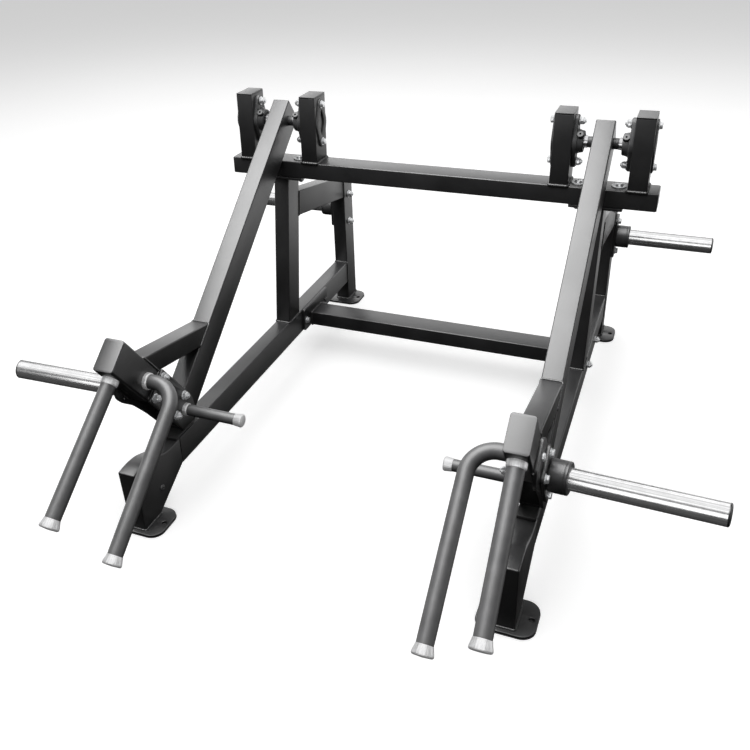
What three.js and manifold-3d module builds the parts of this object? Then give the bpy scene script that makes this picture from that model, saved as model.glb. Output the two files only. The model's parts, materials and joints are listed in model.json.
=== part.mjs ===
// Plate-loaded lever squat machine: a welded and bolted tube frame with two
// independent lever arms. Each arm turns on a shaft in two flange bearings at the
// top of the frame and rests on a rubber stop on the side rail.
// Units are millimetres. +Z is up, -Y is the handle end and +X is the right side.
// In the design frame y = 0 is the front face of the top beam and z = 0 is the floor.

import * as THREE from 'three';
import { mergeVertices } from 'three/addons/utils/BufferGeometryUtils.js';
import Module from 'manifold-3d';

const wasm = await Module();
wasm.setup();

// ---------------------------------------------------------------- dimensions

const GAP = 0.3;                    // clearance where one piece is fitted to another
const CUTTER = 3000;                // side of the boxes that trim tube ends

const TUBE_WIDTH = 50;              // narrow side of the frame tube
const TUBE_DEPTH = 83;              // deep side of the frame tube
const TUBE_CORNER = 5;              // outside corner radius of every tube
const WALL = 3;

const ARM_X = 488;                  // distance of each side frame and arm from the middle
const HALF_WIDTH = TUBE_WIDTH / 2;

const BEAM_LENGTH = 1302;
const BEAM_TOP = 719;
const POST_TOP = 922;
const POST_OFFSET = 106;            // distance of each post from the arm's middle plane

const PIVOT_Y = 40;
const PIVOT_Z = 837;
const SHAFT_RADIUS = 15;
const SPACER_RADIUS = 20;
const INSERT_RADIUS = 19;
const INSERT_REACH = 38;            // how far the bearing insert stands off the post
const HOUSING_REACH = 30;
const HOUSING_PLATE = 13;
const BEARING_BOLT = 57;            // bearing bolt distance above and below the shaft
const BEARING_END_RADIUS = 17;
const BEARING_MIDDLE_RADIUS = 37;
const BACK_PLATE = 5;
const POST_BORE = 28;
const BOLT_HOLE = 6.5;

const RAIL_TOP = 168;
const FLOOR_PLATE = 8;              // thickness of the foot plates
const FOOT_WIDTH = 138;
const FOOT_LENGTH = 117;
const FOOT_CORNER = 34;
const ANCHOR_HOLE = 7;
const ANCHOR_OFFSET = 54;
const FRONT_FOOT_Y = -933;          // middle of the front foot plate
const REAR_FOOT_Y = 519;

const FRONT_LEG_BACK = -769;        // where the front leg meets the side rail
const UPRIGHT_FOOT_Y = -8.5;        // middle of the upright where it stands on the rail
const UPRIGHT_LEAN = THREE.MathUtils.degToRad(6.9);
const UPRIGHT_PLATE = 8;
const UPRIGHT_PLATE_WIDTH = 148;
const UPRIGHT_BOLT_X = 55;          // plate bolts on each side of the upright
const REAR_LEG_FRONT = 493.4;       // front face of the rear leg at floor level
const REAR_LEG_LEAN = THREE.MathUtils.degToRad(2.3);
const REAR_LEG_TOP = 524;
const TOP_BAR_ANGLE = THREE.MathUtils.degToRad(-10.5);
const TOP_BAR_Y = 82;
const TOP_BAR_Z = 552;

const CROSS_TUBE_Y = 158.5;
const CROSS_TUBE_Z = 105;
const CROSS_FLANGE = 8;
const CROSS_FLANGE_LENGTH = 207;
const CROSS_FLANGE_HEIGHT = 82;
const CROSS_FLANGE_Z = 126;         // middle of the flange, near the rail's own middle
const CROSS_BOLT_Y = 86.5;          // flange bolts in front of and behind the cross tube
const CROSS_BOLT_Z = 121;

const STORAGE_Z = 384;              // height of the plate storage horns
const STORAGE_TIP = 343;            // horn tip, measured from the side frame's middle
const STORAGE_BOLT = 54;            // flange bolts above and below the horn
const HORN_RADIUS = 25;
const HORN_WALL = 4;
const COLLAR_RADIUS = 35;
const COLLAR_LENGTH = 43;
const HORN_FLANGE = 8;

const ARM_ANGLE = THREE.MathUtils.degToRad(38.56);  // arm below horizontal at rest
const ARM_DEPTH = 90;
const ARM_TAIL = 43;                // arm length behind the shaft
const ARM_FRONT_CUT = -744;         // upright cut at the arm's low end
const ARM_BOTTOM = 184;             // level cut at the arm's low end
const ARM_PLATE = 6;
const ARM_PLATE_BACK = -684;
const STOP_FRONT = -787;
const STOP_BACK = -690;

const BRACE_ANGLE = THREE.MathUtils.degToRad(10.4);
const BRACE_TOP = new THREE.Vector2(-744, 449.5);   // a point on the brace's top face

const HEAD_ANGLE = THREE.MathUtils.degToRad(52);    // head box below horizontal, going back
const HEAD_START = new THREE.Vector2(-969.5, 533);  // middle of the head's end face
const HEAD_LENGTH = 188;

const KNEE_PLATE = 8;
const KNEE_BOTTOM = 192;
const BOLT_MIDDLE = new THREE.Vector2(268, 4);      // bolt pattern middle, along and across the head
const BOLT_HALF_LONG = 65;
const BOLT_HALF_SHORT = 29.5;

const LOAD_FLANGE = 10;
const FLANGE_FACE = HALF_WIDTH + 2 * GAP + KNEE_PLATE + LOAD_FLANGE;
const LOAD_TIP = 412;               // horn tip, measured from the arm's middle
const LOAD_FORWARD = THREE.MathUtils.degToRad(6.4);
const LOAD_UP = THREE.MathUtils.degToRad(3.4);

const GRIP_RADIUS = 19;
const STRAIGHT_ALONG = 45;          // handle root, measured along the head
const STRAIGHT_LENGTH = 374;
const BENT_ALONG = 151;
const BENT_INSET = 116;             // distance of the bent grip from the arm's middle
const BENT_RADIUS = 62;
const BENT_LENGTH = 446;
const SHORT_RADIUS = 14;
const SHORT_Y = -740;
const SHORT_Z = 246;
const SHORT_REACH = 204;            // short grip tip, measured from the arm's middle

const ROUND = 28;                   // segments of a turned part
const BEND_STEPS = 10;

// ---------------------------------------------------------------- materials

function powderCoat() {
    return new THREE.MeshStandardMaterial({ color: 0x1b1b1d, roughness: 0.55, metalness: 0.35 });
}

function castIron() {
    return new THREE.MeshStandardMaterial({ color: 0x2a2b2d, roughness: 0.6, metalness: 0.5 });
}

function polishedSteel() {
    return new THREE.MeshStandardMaterial({ color: 0xd8d8da, roughness: 0.15, metalness: 1.0 });
}

function chromePlate() {
    return new THREE.MeshStandardMaterial({ color: 0xe6e6e8, roughness: 0.12, metalness: 1.0 });
}

function gripRubber() {
    return new THREE.MeshStandardMaterial({ color: 0x37383a, roughness: 0.75, metalness: 0.0 });
}

function blackRubber() {
    return new THREE.MeshStandardMaterial({ color: 0x17181a, roughness: 0.85, metalness: 0.0 });
}

// ---------------------------------------------------------------- shape helpers

function toSolid(geometry) {
    const bare = geometry.index ? geometry.toNonIndexed() : geometry.clone();
    bare.deleteAttribute('normal');
    bare.deleteAttribute('uv');
    const merged = mergeVertices(bare, 1e-4);
    return new wasm.Manifold(new wasm.Mesh({
        numProp: 3,
        vertProperties: new Float32Array(merged.attributes.position.array),
        triVerts: new Uint32Array(merged.index.array),
    }));
}

function toGeometry(solid) {
    const mesh = solid.getMesh();
    const geometry = new THREE.BufferGeometry();
    geometry.setAttribute('position', new THREE.BufferAttribute(mesh.vertProperties, 3));
    geometry.setIndex(new THREE.BufferAttribute(mesh.triVerts, 1));
    geometry.computeVertexNormals();
    return geometry;
}

function roundedShape(width, height, radius) {
    const x = width / 2 - radius;
    const y = height / 2 - radius;
    const shape = new THREE.Shape();
    shape.absarc(x, y, radius, 0, Math.PI / 2);
    shape.absarc(-x, y, radius, Math.PI / 2, Math.PI);
    shape.absarc(-x, -y, radius, Math.PI, Math.PI * 1.5);
    shape.absarc(x, -y, radius, Math.PI * 1.5, Math.PI * 2);
    return shape;
}

function extrude(shape, depth, curveSegments = 2) {
    return new THREE.ExtrudeGeometry(shape, { depth, bevelEnabled: false, curveSegments });
}

// Turns a profile drawn in (y, z) and extruded towards +Z into one extruded along +X.
function alongX(geometry) {
    const turn = new THREE.Matrix4().makeBasis(
        new THREE.Vector3(0, 1, 0),
        new THREE.Vector3(0, 0, 1),
        new THREE.Vector3(1, 0, 0),
    );
    return geometry.applyMatrix4(turn);
}

// A plate or block with a (y, z) outline, from x = start to x = start + thickness.
function sidePlate(shape, start, thickness, curveSegments = 3) {
    return alongX(extrude(shape, thickness, curveSegments)).translate(start, 0, 0);
}

function boxSolid(x0, x1, y0, y1, z0, z1) {
    const box = new THREE.BoxGeometry(x1 - x0, y1 - y0, z1 - z0);
    return toSolid(box.translate((x0 + x1) / 2, (y0 + y1) / 2, (z0 + z1) / 2));
}

// Segments of a round piece: small holes need fewer than large bars.
function segments(radius) {
    return radius < 10 ? 12 : ROUND;
}

// A round bar along X.
function barX(radius, x0, x1, y, z) {
    const bar = new THREE.CylinderGeometry(radius, radius, x1 - x0, segments(radius));
    return toSolid(bar.rotateZ(Math.PI / 2).translate((x0 + x1) / 2, y, z));
}

// A round bar along Z.
function barZ(radius, z0, z1, x, y) {
    const bar = new THREE.CylinderGeometry(radius, radius, z1 - z0, segments(radius));
    return toSolid(bar.rotateX(Math.PI / 2).translate(x, y, (z0 + z1) / 2));
}

// The half space beyond a plane through (y, z) whose normal points along (ny, nz).
function beyond(y, z, ny, nz) {
    const box = new THREE.BoxGeometry(CUTTER, CUTTER, CUTTER);
    box.translate(0, 0, CUTTER / 2);
    box.rotateX(Math.atan2(-ny, nz));
    return toSolid(box.translate(0, y, z));
}

// A solid bar of tube section that runs both ways from (y, z) along the direction
// (cos angle, sin angle) of the side plane.
function sideBar(width, depth, corner, y, z, angle, back, forward) {
    const bar = extrude(roundedShape(width, depth, corner), back + forward);
    bar.translate(0, 0, -back);
    bar.rotateX(Math.atan2(-Math.cos(angle), Math.sin(angle)));
    return toSolid(bar.translate(0, y, z));
}

// A hollow tube in the side plane, trimmed by half spaces. The inside runs out
// through every end named in openEnds and stops one wall short of the others.
function sideTube(width, depth, y, z, angle, length, cuts) {
    let outer = sideBar(width, depth, TUBE_CORNER, y, z, angle, length, length);
    const innerWidth = width - 2 * WALL;
    const innerDepth = depth - 2 * WALL;
    let inner = sideBar(innerWidth, innerDepth, TUBE_CORNER - WALL, y, z, angle, length, length);
    for (const cut of cuts) {
        outer = outer.subtract(beyond(cut.y, cut.z, cut.ny, cut.nz));
        if (!cut.open) {
            const size = Math.hypot(cut.ny, cut.nz);
            const innerY = cut.y - (WALL * cut.ny) / size;
            const innerZ = cut.z - (WALL * cut.nz) / size;
            inner = inner.subtract(beyond(innerY, innerZ, cut.ny, cut.nz));
        }
    }
    return outer.subtract(inner);
}

function polygon(points) {
    return new THREE.Shape(points.map(([a, b]) => new THREE.Vector2(a, b)));
}

// A polygon whose corners are rounded with quadratic curves.
function softPolygon(points) {
    const shape = new THREE.Shape();
    const count = points.length;
    points.forEach(([a, b, radius = 0], i) => {
        const corner = new THREE.Vector2(a, b);
        const before = new THREE.Vector2(...points[(i + count - 1) % count]);
        const after = new THREE.Vector2(...points[(i + 1) % count]);
        const enter = corner.clone().add(before.sub(corner).setLength(radius));
        const leave = corner.clone().add(after.sub(corner).setLength(radius));
        if (i === 0) {
            shape.moveTo(enter.x, enter.y);
        } else {
            shape.lineTo(enter.x, enter.y);
        }
        if (radius > 0) {
            shape.quadraticCurveTo(a, b, leave.x, leave.y);
        }
    });
    return shape;
}

function piece(name, solid, material) {
    const mesh = new THREE.Mesh(toGeometry(solid), material);
    mesh.name = name;
    return mesh;
}

// ---------------------------------------------------------------- turned and cast parts

// The oval outline of a two-bolt flange bearing.
function bearingOutline() {
    const slope = Math.asin((BEARING_MIDDLE_RADIUS - BEARING_END_RADIUS) / BEARING_BOLT);
    const shape = new THREE.Shape();
    shape.absarc(0, 0, BEARING_MIDDLE_RADIUS, -slope, slope);
    shape.absarc(0, BEARING_BOLT, BEARING_END_RADIUS, slope, Math.PI - slope);
    shape.absarc(0, 0, BEARING_MIDDLE_RADIUS, Math.PI - slope, Math.PI + slope);
    shape.absarc(0, -BEARING_BOLT, BEARING_END_RADIUS, Math.PI + slope, 2 * Math.PI - slope);
    return shape;
}

function bearingHoles(solid, x0, x1) {
    let drilled = solid;
    for (const side of [-1, 1]) {
        drilled = drilled.subtract(barX(BOLT_HOLE, x0, x1, 0, side * BEARING_BOLT));
    }
    return drilled;
}

// Cast housing that stands off a post towards +X, with its grease boss.
function bearingHousing() {
    const plate = toSolid(sidePlate(bearingOutline(), 0, HOUSING_PLATE, 5));
    const profile = [
        [0, 1], [34, 1], [34, HOUSING_PLATE], [32, HOUSING_PLATE + 3], [30.5, 20],
        [29.5, HOUSING_REACH - 1.5], [28, HOUSING_REACH], [0, HOUSING_REACH],
    ];
    const boss = new THREE.LatheGeometry(profile.map(([r, h]) => new THREE.Vector2(r, h)), ROUND);
    boss.rotateZ(-Math.PI / 2);
    const nippleBoss = new THREE.CylinderGeometry(7, 8, 12, 12);
    nippleBoss.rotateX(-Math.PI / 4);
    nippleBoss.translate(21, -24.5, 24.5);
    const body = plate.add(toSolid(boss)).add(toSolid(nippleBoss));
    const bored = body.subtract(barX(INSERT_RADIUS + GAP, -1, HOUSING_REACH + 1, 0, 0));
    return bearingHoles(bored, -1, HOUSING_PLATE + 5);
}

function backPlate() {
    const plate = toSolid(sidePlate(bearingOutline(), 0, BACK_PLATE, 5));
    return bearingHoles(plate.subtract(barX(POST_BORE, -1, BACK_PLATE + 1, 0, 0)), -1, BACK_PLATE + 1);
}

// Inner ring of the bearing with its lock collar, locked to the shaft.
function bearingInsert() {
    const inside = SHAFT_RADIUS + GAP / 2;
    const profile = [
        [inside, 6], [INSERT_RADIUS, 6], [INSERT_RADIUS, HOUSING_REACH + 0.5],
        [INSERT_RADIUS - 1, HOUSING_REACH + 1], [INSERT_RADIUS - 1, INSERT_REACH - 1],
        [INSERT_RADIUS - 2, INSERT_REACH], [inside, INSERT_REACH], [inside, 6],
    ];
    const ring = new THREE.LatheGeometry(profile.map(([r, h]) => new THREE.Vector2(r, h)), ROUND);
    return toSolid(ring.rotateZ(-Math.PI / 2));
}

// Pivot shaft with a fixed spacer between the arm and each bearing insert.
function pivotShaft() {
    const half = POST_OFFSET + HALF_WIDTH - 6;
    const spacerEnd = POST_OFFSET - HALF_WIDTH - INSERT_REACH - GAP;
    const spacerStart = HALF_WIDTH + GAP;
    const side = [
        [SHAFT_RADIUS, spacerStart], [SPACER_RADIUS, spacerStart], [SPACER_RADIUS, spacerEnd],
        [SHAFT_RADIUS, spacerEnd], [SHAFT_RADIUS, half - 1], [SHAFT_RADIUS - 1, half], [0, half],
    ];
    const mirrored = side.map(([r, h]) => [r, -h]).reverse();
    const profile = [...mirrored, ...side].map(([r, h]) => new THREE.Vector2(r, h));
    const shaft = new THREE.LatheGeometry(profile, ROUND);
    return toSolid(shaft.rotateZ(-Math.PI / 2));
}

// Plate horn: an open tube along +X, from x = start to the tip.
function hornTube(start, tip) {
    const outer = barX(HORN_RADIUS, start, tip, 0, 0);
    return outer.subtract(barX(HORN_RADIUS - HORN_WALL, start + 20, tip + 1, 0, 0));
}

function hornCollar(start, length) {
    const inside = HORN_RADIUS + GAP;
    const bevel = 2;
    const end = start + length;
    const profile = [
        [inside, start], [COLLAR_RADIUS - bevel, start], [COLLAR_RADIUS, start + bevel],
        [COLLAR_RADIUS, end - bevel], [COLLAR_RADIUS - bevel, end], [inside, end], [inside, start],
    ];
    const ring = new THREE.LatheGeometry(profile.map(([r, h]) => new THREE.Vector2(r, h)), ROUND);
    return toSolid(ring.rotateZ(-Math.PI / 2));
}

// Mirrors a solid that was built for the right side onto the left when side is -1.
function forSide(solid, side) {
    return side > 0 ? solid : solid.mirror([1, 0, 0]);
}

// ---------------------------------------------------------------- frame

function topBeam() {
    const half = BEAM_LENGTH / 2;
    const y = TUBE_DEPTH / 2;
    const z = BEAM_TOP - TUBE_WIDTH / 2;
    const outer = extrude(roundedShape(TUBE_DEPTH, TUBE_WIDTH, TUBE_CORNER), BEAM_LENGTH);
    const innerShape = roundedShape(TUBE_DEPTH - 2 * WALL, TUBE_WIDTH - 2 * WALL, TUBE_CORNER - WALL);
    const inner = extrude(innerShape, BEAM_LENGTH + 2);
    const tube = toSolid(alongX(outer).translate(-half, y, z));
    let beam = tube.subtract(toSolid(alongX(inner).translate(-half - 1, y, z)));
    for (const side of [-1, 1]) {
        for (const offset of [-UPRIGHT_BOLT_X, UPRIGHT_BOLT_X]) {
            const x = side * ARM_X + offset;
            beam = beam.subtract(barZ(BOLT_HOLE, BEAM_TOP - TUBE_WIDTH - 1, BEAM_TOP + 1, x, y));
        }
    }
    return beam;
}

function crossTube() {
    const half = ARM_X - HALF_WIDTH;
    const tubeHalf = half - CROSS_FLANGE + 1;
    const outer = extrude(roundedShape(TUBE_DEPTH, TUBE_WIDTH, TUBE_CORNER), 2 * tubeHalf);
    const innerShape = roundedShape(TUBE_DEPTH - 2 * WALL, TUBE_WIDTH - 2 * WALL, TUBE_CORNER - WALL);
    const inner = extrude(innerShape, 2 * half + 2);
    let solid = toSolid(alongX(outer).translate(-tubeHalf, CROSS_TUBE_Y, CROSS_TUBE_Z));
    for (const side of [-1, 1]) {
        const outline = roundedShape(CROSS_FLANGE_LENGTH, CROSS_FLANGE_HEIGHT, 8);
        const start = side > 0 ? half - CROSS_FLANGE : -half;
        const plate = sidePlate(outline, start, CROSS_FLANGE);
        solid = solid.add(toSolid(plate.translate(0, CROSS_TUBE_Y, CROSS_FLANGE_Z)));
    }
    solid = solid.subtract(toSolid(alongX(inner).translate(-half - 1, CROSS_TUBE_Y, CROSS_TUBE_Z)));
    for (const y of [CROSS_TUBE_Y - CROSS_BOLT_Y, CROSS_TUBE_Y + CROSS_BOLT_Y]) {
        solid = solid.subtract(barX(BOLT_HOLE, -half - 1, half + 1, y, CROSS_BOLT_Z));
    }
    return solid;
}

function sideRail() {
    const lean = Math.tan(REAR_LEG_LEAN);
    const rearY = REAR_LEG_FRONT - GAP;
    const cuts = [
        { y: FRONT_LEG_BACK + GAP, z: 0, ny: -1, nz: 0, open: true },
        { y: rearY, z: 0, ny: 1, nz: lean, open: true },
    ];
    const z = RAIL_TOP - TUBE_DEPTH / 2;
    let rail = sideTube(TUBE_WIDTH, TUBE_DEPTH, 0, z, 0, 1400, cuts);
    for (const y of [CROSS_TUBE_Y - CROSS_BOLT_Y, CROSS_TUBE_Y + CROSS_BOLT_Y]) {
        rail = rail.subtract(barX(BOLT_HOLE, -HALF_WIDTH - 1, HALF_WIDTH + 1, y, CROSS_BOLT_Z));
    }
    return rail;
}

// Front leg: a welded box with a humped top and a raked back, open underneath.
function frontLeg() {
    const outline = [
        [-977, FLOOR_PLATE], [-900, FLOOR_PLATE], [FRONT_LEG_BACK, RAIL_TOP - TUBE_DEPTH + 1],
        [FRONT_LEG_BACK, RAIL_TOP], [-833, RAIL_TOP, 20], [-872, 180, 12], [-908, 194, 12],
        [-948, 198, 14], [-987, 193.5, 2],
    ];
    const inside = [
        [-973, FLOOR_PLATE - 10], [-897, FLOOR_PLATE - 10], [-897, FLOOR_PLATE + 8],
        [FRONT_LEG_BACK - 8, RAIL_TOP - TUBE_DEPTH + 4], [FRONT_LEG_BACK - 8, RAIL_TOP - 4],
        [-836, RAIL_TOP - 4], [-872, 175], [-908, 189], [-948, 193], [-981, 189],
    ];
    const outer = toSolid(sidePlate(softPolygon(outline), -HALF_WIDTH, TUBE_WIDTH, 3));
    const innerWidth = TUBE_WIDTH - 2 * WALL;
    return outer.subtract(toSolid(sidePlate(polygon(inside), -innerWidth / 2, innerWidth)));
}

function upright() {
    const top = BEAM_TOP - TUBE_WIDTH - UPRIGHT_PLATE;
    const rise = Math.PI / 2 - UPRIGHT_LEAN;
    const cuts = [
        { y: 0, z: RAIL_TOP + GAP, ny: 0, nz: -1, open: true },
        { y: 0, z: top + 0.5, ny: 0, nz: 1, open: false },
    ];
    const tube = sideTube(TUBE_WIDTH, TUBE_DEPTH, UPRIGHT_FOOT_Y, RAIL_TOP, rise, 1200, cuts);
    const topY = UPRIGHT_FOOT_Y + (top - RAIL_TOP) * Math.tan(UPRIGHT_LEAN);
    const outline = roundedShape(UPRIGHT_PLATE_WIDTH, TUBE_DEPTH + 14, 6);
    const plate = extrude(outline, UPRIGHT_PLATE - GAP).translate(0, topY - 3, top);
    let solid = tube.add(toSolid(plate));
    for (const x of [-UPRIGHT_BOLT_X, UPRIGHT_BOLT_X]) {
        solid = solid.subtract(barZ(BOLT_HOLE, top - 1, top + UPRIGHT_PLATE, x, TUBE_DEPTH / 2));
    }
    return solid;
}

function rearLeg() {
    const rise = Math.PI / 2 + REAR_LEG_LEAN;
    const cuts = [
        { y: 0, z: FLOOR_PLATE + GAP, ny: 0, nz: -1, open: true },
        { y: 0, z: REAR_LEG_TOP, ny: 0, nz: 1, open: false },
    ];
    const middle = REAR_LEG_FRONT + TUBE_DEPTH / 2 / Math.cos(REAR_LEG_LEAN);
    let leg = sideTube(TUBE_WIDTH, TUBE_DEPTH, middle, 0, rise, 1200, cuts);
    for (const z of [STORAGE_Z - STORAGE_BOLT, STORAGE_Z + STORAGE_BOLT]) {
        leg = leg.subtract(barX(BOLT_HOLE, -HALF_WIDTH - 1, HALF_WIDTH + 1, storageY(), z));
    }
    return leg;
}

function storageY() {
    return REAR_LEG_FRONT + TUBE_DEPTH / 2 - STORAGE_Z * Math.tan(REAR_LEG_LEAN);
}

function topBar() {
    const uprightBack = UPRIGHT_FOOT_Y + TUBE_DEPTH / 2 / Math.cos(UPRIGHT_LEAN);
    const cuts = [
        {
            y: uprightBack + GAP, z: RAIL_TOP,
            ny: -Math.cos(UPRIGHT_LEAN), nz: Math.sin(UPRIGHT_LEAN), open: true,
        },
        {
            y: REAR_LEG_FRONT - GAP, z: 0,
            ny: Math.cos(REAR_LEG_LEAN), nz: Math.sin(REAR_LEG_LEAN), open: true,
        },
    ];
    return sideTube(TUBE_WIDTH, TUBE_DEPTH, TOP_BAR_Y, TOP_BAR_Z, TOP_BAR_ANGLE, 900, cuts);
}

function footPlate() {
    const plate = extrude(roundedShape(FOOT_WIDTH, FOOT_LENGTH, FOOT_CORNER), FLOOR_PLATE, 4);
    let solid = toSolid(plate);
    for (const x of [-ANCHOR_OFFSET, ANCHOR_OFFSET]) {
        solid = solid.subtract(barZ(ANCHOR_HOLE, -1, FLOOR_PLATE + 1, x, 0));
    }
    return solid;
}

// Post of the bearing pair: a capped tube, bored for the shaft and the bearing bolts.
function bearingPost() {
    const outer = extrude(roundedShape(TUBE_WIDTH, TUBE_DEPTH, TUBE_CORNER), POST_TOP - BEAM_TOP);
    const innerShape = roundedShape(TUBE_WIDTH - 2 * WALL, TUBE_DEPTH - 2 * WALL, TUBE_CORNER - WALL);
    const inner = extrude(innerShape, POST_TOP - BEAM_TOP);
    const middle = TUBE_DEPTH / 2;
    let post = toSolid(outer.translate(0, middle, BEAM_TOP));
    post = post.subtract(toSolid(inner.translate(0, middle, BEAM_TOP - WALL)));
    post = post.subtract(barX(POST_BORE, -HALF_WIDTH - 1, HALF_WIDTH + 1, PIVOT_Y, PIVOT_Z));
    for (const z of [PIVOT_Z - BEARING_BOLT, PIVOT_Z + BEARING_BOLT]) {
        post = post.subtract(barX(BOLT_HOLE, -HALF_WIDTH - 1, HALF_WIDTH + 1, PIVOT_Y, z));
    }
    return post;
}

function storageHorn() {
    const flange = toSolid(sidePlate(roundedShape(72, 140, 12), HALF_WIDTH + GAP, HORN_FLANGE));
    let horn = flange.add(hornTube(HALF_WIDTH + HORN_FLANGE - 2, STORAGE_TIP));
    for (const z of [-STORAGE_BOLT, STORAGE_BOLT]) {
        horn = horn.subtract(barX(BOLT_HOLE, HALF_WIDTH, HALF_WIDTH + HORN_FLANGE + 1, 0, z));
    }
    return horn;
}

function stopPad() {
    const height = ARM_BOTTOM - ARM_PLATE - GAP - RAIL_TOP;
    const length = STOP_BACK - STOP_FRONT;
    const pad = extrude(roundedShape(TUBE_WIDTH - 2, length, 4), height);
    return toSolid(pad.translate(0, (STOP_FRONT + STOP_BACK) / 2, RAIL_TOP));
}

// ---------------------------------------------------------------- lever arm

// A point of the side plane, given along and across the head box.
function headPoint(along, across) {
    const c = Math.cos(HEAD_ANGLE);
    const s = Math.sin(HEAD_ANGLE);
    return new THREE.Vector2(
        HEAD_START.x + along * c + across * s,
        HEAD_START.y - along * s + across * c,
    );
}

function headOutline(points) {
    return softPolygon(points.map(([along, across, radius]) => {
        const at = headPoint(along, across);
        return [at.x, at.y, radius];
    }));
}

// Distance above the arm's middle line of its upper face, as a cutting plane.
function armTopPlane(clearance) {
    const offset = ARM_DEPTH / 2 + clearance;
    return {
        y: PIVOT_Y - offset * Math.sin(ARM_ANGLE),
        z: PIVOT_Z + offset * Math.cos(ARM_ANGLE),
        ny: Math.sin(ARM_ANGLE),
        nz: -Math.cos(ARM_ANGLE),
    };
}

function armTube() {
    const tailY = PIVOT_Y + ARM_TAIL * Math.cos(ARM_ANGLE);
    const tailZ = PIVOT_Z + ARM_TAIL * Math.sin(ARM_ANGLE);
    const cuts = [
        { y: tailY, z: tailZ, ny: Math.cos(ARM_ANGLE), nz: Math.sin(ARM_ANGLE), open: false },
        { y: ARM_FRONT_CUT, z: 0, ny: -1, nz: 0, open: false },
        { y: 0, z: ARM_BOTTOM - 1, ny: 0, nz: -1, open: true },
    ];
    const tube = sideTube(TUBE_WIDTH, ARM_DEPTH, PIVOT_Y, PIVOT_Z, ARM_ANGLE, 1500, cuts);
    const length = ARM_PLATE_BACK - ARM_FRONT_CUT;
    const sole = extrude(roundedShape(TUBE_WIDTH, length, 3), ARM_PLATE);
    sole.translate(0, ARM_FRONT_CUT + length / 2, ARM_BOTTOM - ARM_PLATE);
    let arm = tube.add(toSolid(sole));
    const drainY = ARM_FRONT_CUT + 18;
    arm = arm.subtract(barZ(5, ARM_BOTTOM - ARM_PLATE - 1, ARM_BOTTOM + 1, 0, drainY));
    const reach = HALF_WIDTH + 1;
    return arm.subtract(barX(SHAFT_RADIUS + GAP / 2, -reach, reach, PIVOT_Y, PIVOT_Z));
}

// Short tube from the arm's upper face to the back of the head box.
function armBrace() {
    const headBack = headPoint(0, TUBE_DEPTH / 2 + GAP);
    const c = Math.cos(BRACE_ANGLE);
    const s = Math.sin(BRACE_ANGLE);
    const middleY = BRACE_TOP.x - (TUBE_WIDTH / 2) * s;
    const middleZ = BRACE_TOP.y - (TUBE_WIDTH / 2) * c;
    const cuts = [
        { ...armTopPlane(GAP), open: true },
        {
            y: headBack.x, z: headBack.y,
            ny: -Math.sin(HEAD_ANGLE), nz: -Math.cos(HEAD_ANGLE), open: true,
        },
    ];
    return sideTube(TUBE_WIDTH, TUBE_WIDTH, middleY, middleZ, -BRACE_ANGLE, 600, cuts);
}

function headBox() {
    const end = headPoint(HEAD_LENGTH, 0);
    const c = Math.cos(HEAD_ANGLE);
    const s = Math.sin(HEAD_ANGLE);
    const cuts = [
        { y: HEAD_START.x, z: HEAD_START.y, ny: -c, nz: s, open: false },
        { y: end.x, z: end.y, ny: c, nz: -s, open: true },
    ];
    return sideTube(TUBE_WIDTH, TUBE_DEPTH, HEAD_START.x, HEAD_START.y, -HEAD_ANGLE, 500, cuts);
}

function boltPattern() {
    const points = [];
    for (const along of [-BOLT_HALF_LONG, BOLT_HALF_LONG]) {
        for (const across of [-BOLT_HALF_SHORT, BOLT_HALF_SHORT]) {
            points.push(headPoint(BOLT_MIDDLE.x + along, BOLT_MIDDLE.y + across));
        }
    }
    return points;
}

function drillPattern(solid, x0, x1) {
    let drilled = solid;
    for (const at of boltPattern()) {
        drilled = drilled.subtract(barX(BOLT_HOLE, x0, x1, at.x, at.y));
    }
    return drilled;
}

// Knee plates join the head box, the brace and the arm's low end. The outer one has
// a rounded lobe under the head box.
function kneePlate(outline, start) {
    const plate = toSolid(sidePlate(headOutline(outline), start, KNEE_PLATE, 5));
    const trimmed = plate.subtract(beyond(0, KNEE_BOTTOM, 0, -1));
    return drillPattern(trimmed, start - 1, start + KNEE_PLATE + 1);
}

function outerKneePlate() {
    const outline = [
        [108, 36, 10], [112, -41, 6], [140, -64, 12], [172, -64, 18], [226, -50, 12],
        [300, -45, 20], [440, -45], [440, 20], [380, 50, 18], [150, 50, 20],
    ];
    return kneePlate(outline, HALF_WIDTH + GAP);
}

function innerKneePlate() {
    const outline = [
        [HEAD_LENGTH + GAP, 50], [HEAD_LENGTH + GAP, -43], [300, -45, 20],
        [440, -45], [440, 20], [372, 50, 18],
    ];
    return kneePlate(outline, -HALF_WIDTH - GAP - KNEE_PLATE);
}

function hornDirection(solid, side) {
    const turned = solid.rotate([0, 0, THREE.MathUtils.radToDeg(-side * LOAD_FORWARD)]);
    return turned.rotate([0, THREE.MathUtils.radToDeg(-side * LOAD_UP), 0]);
}

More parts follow.
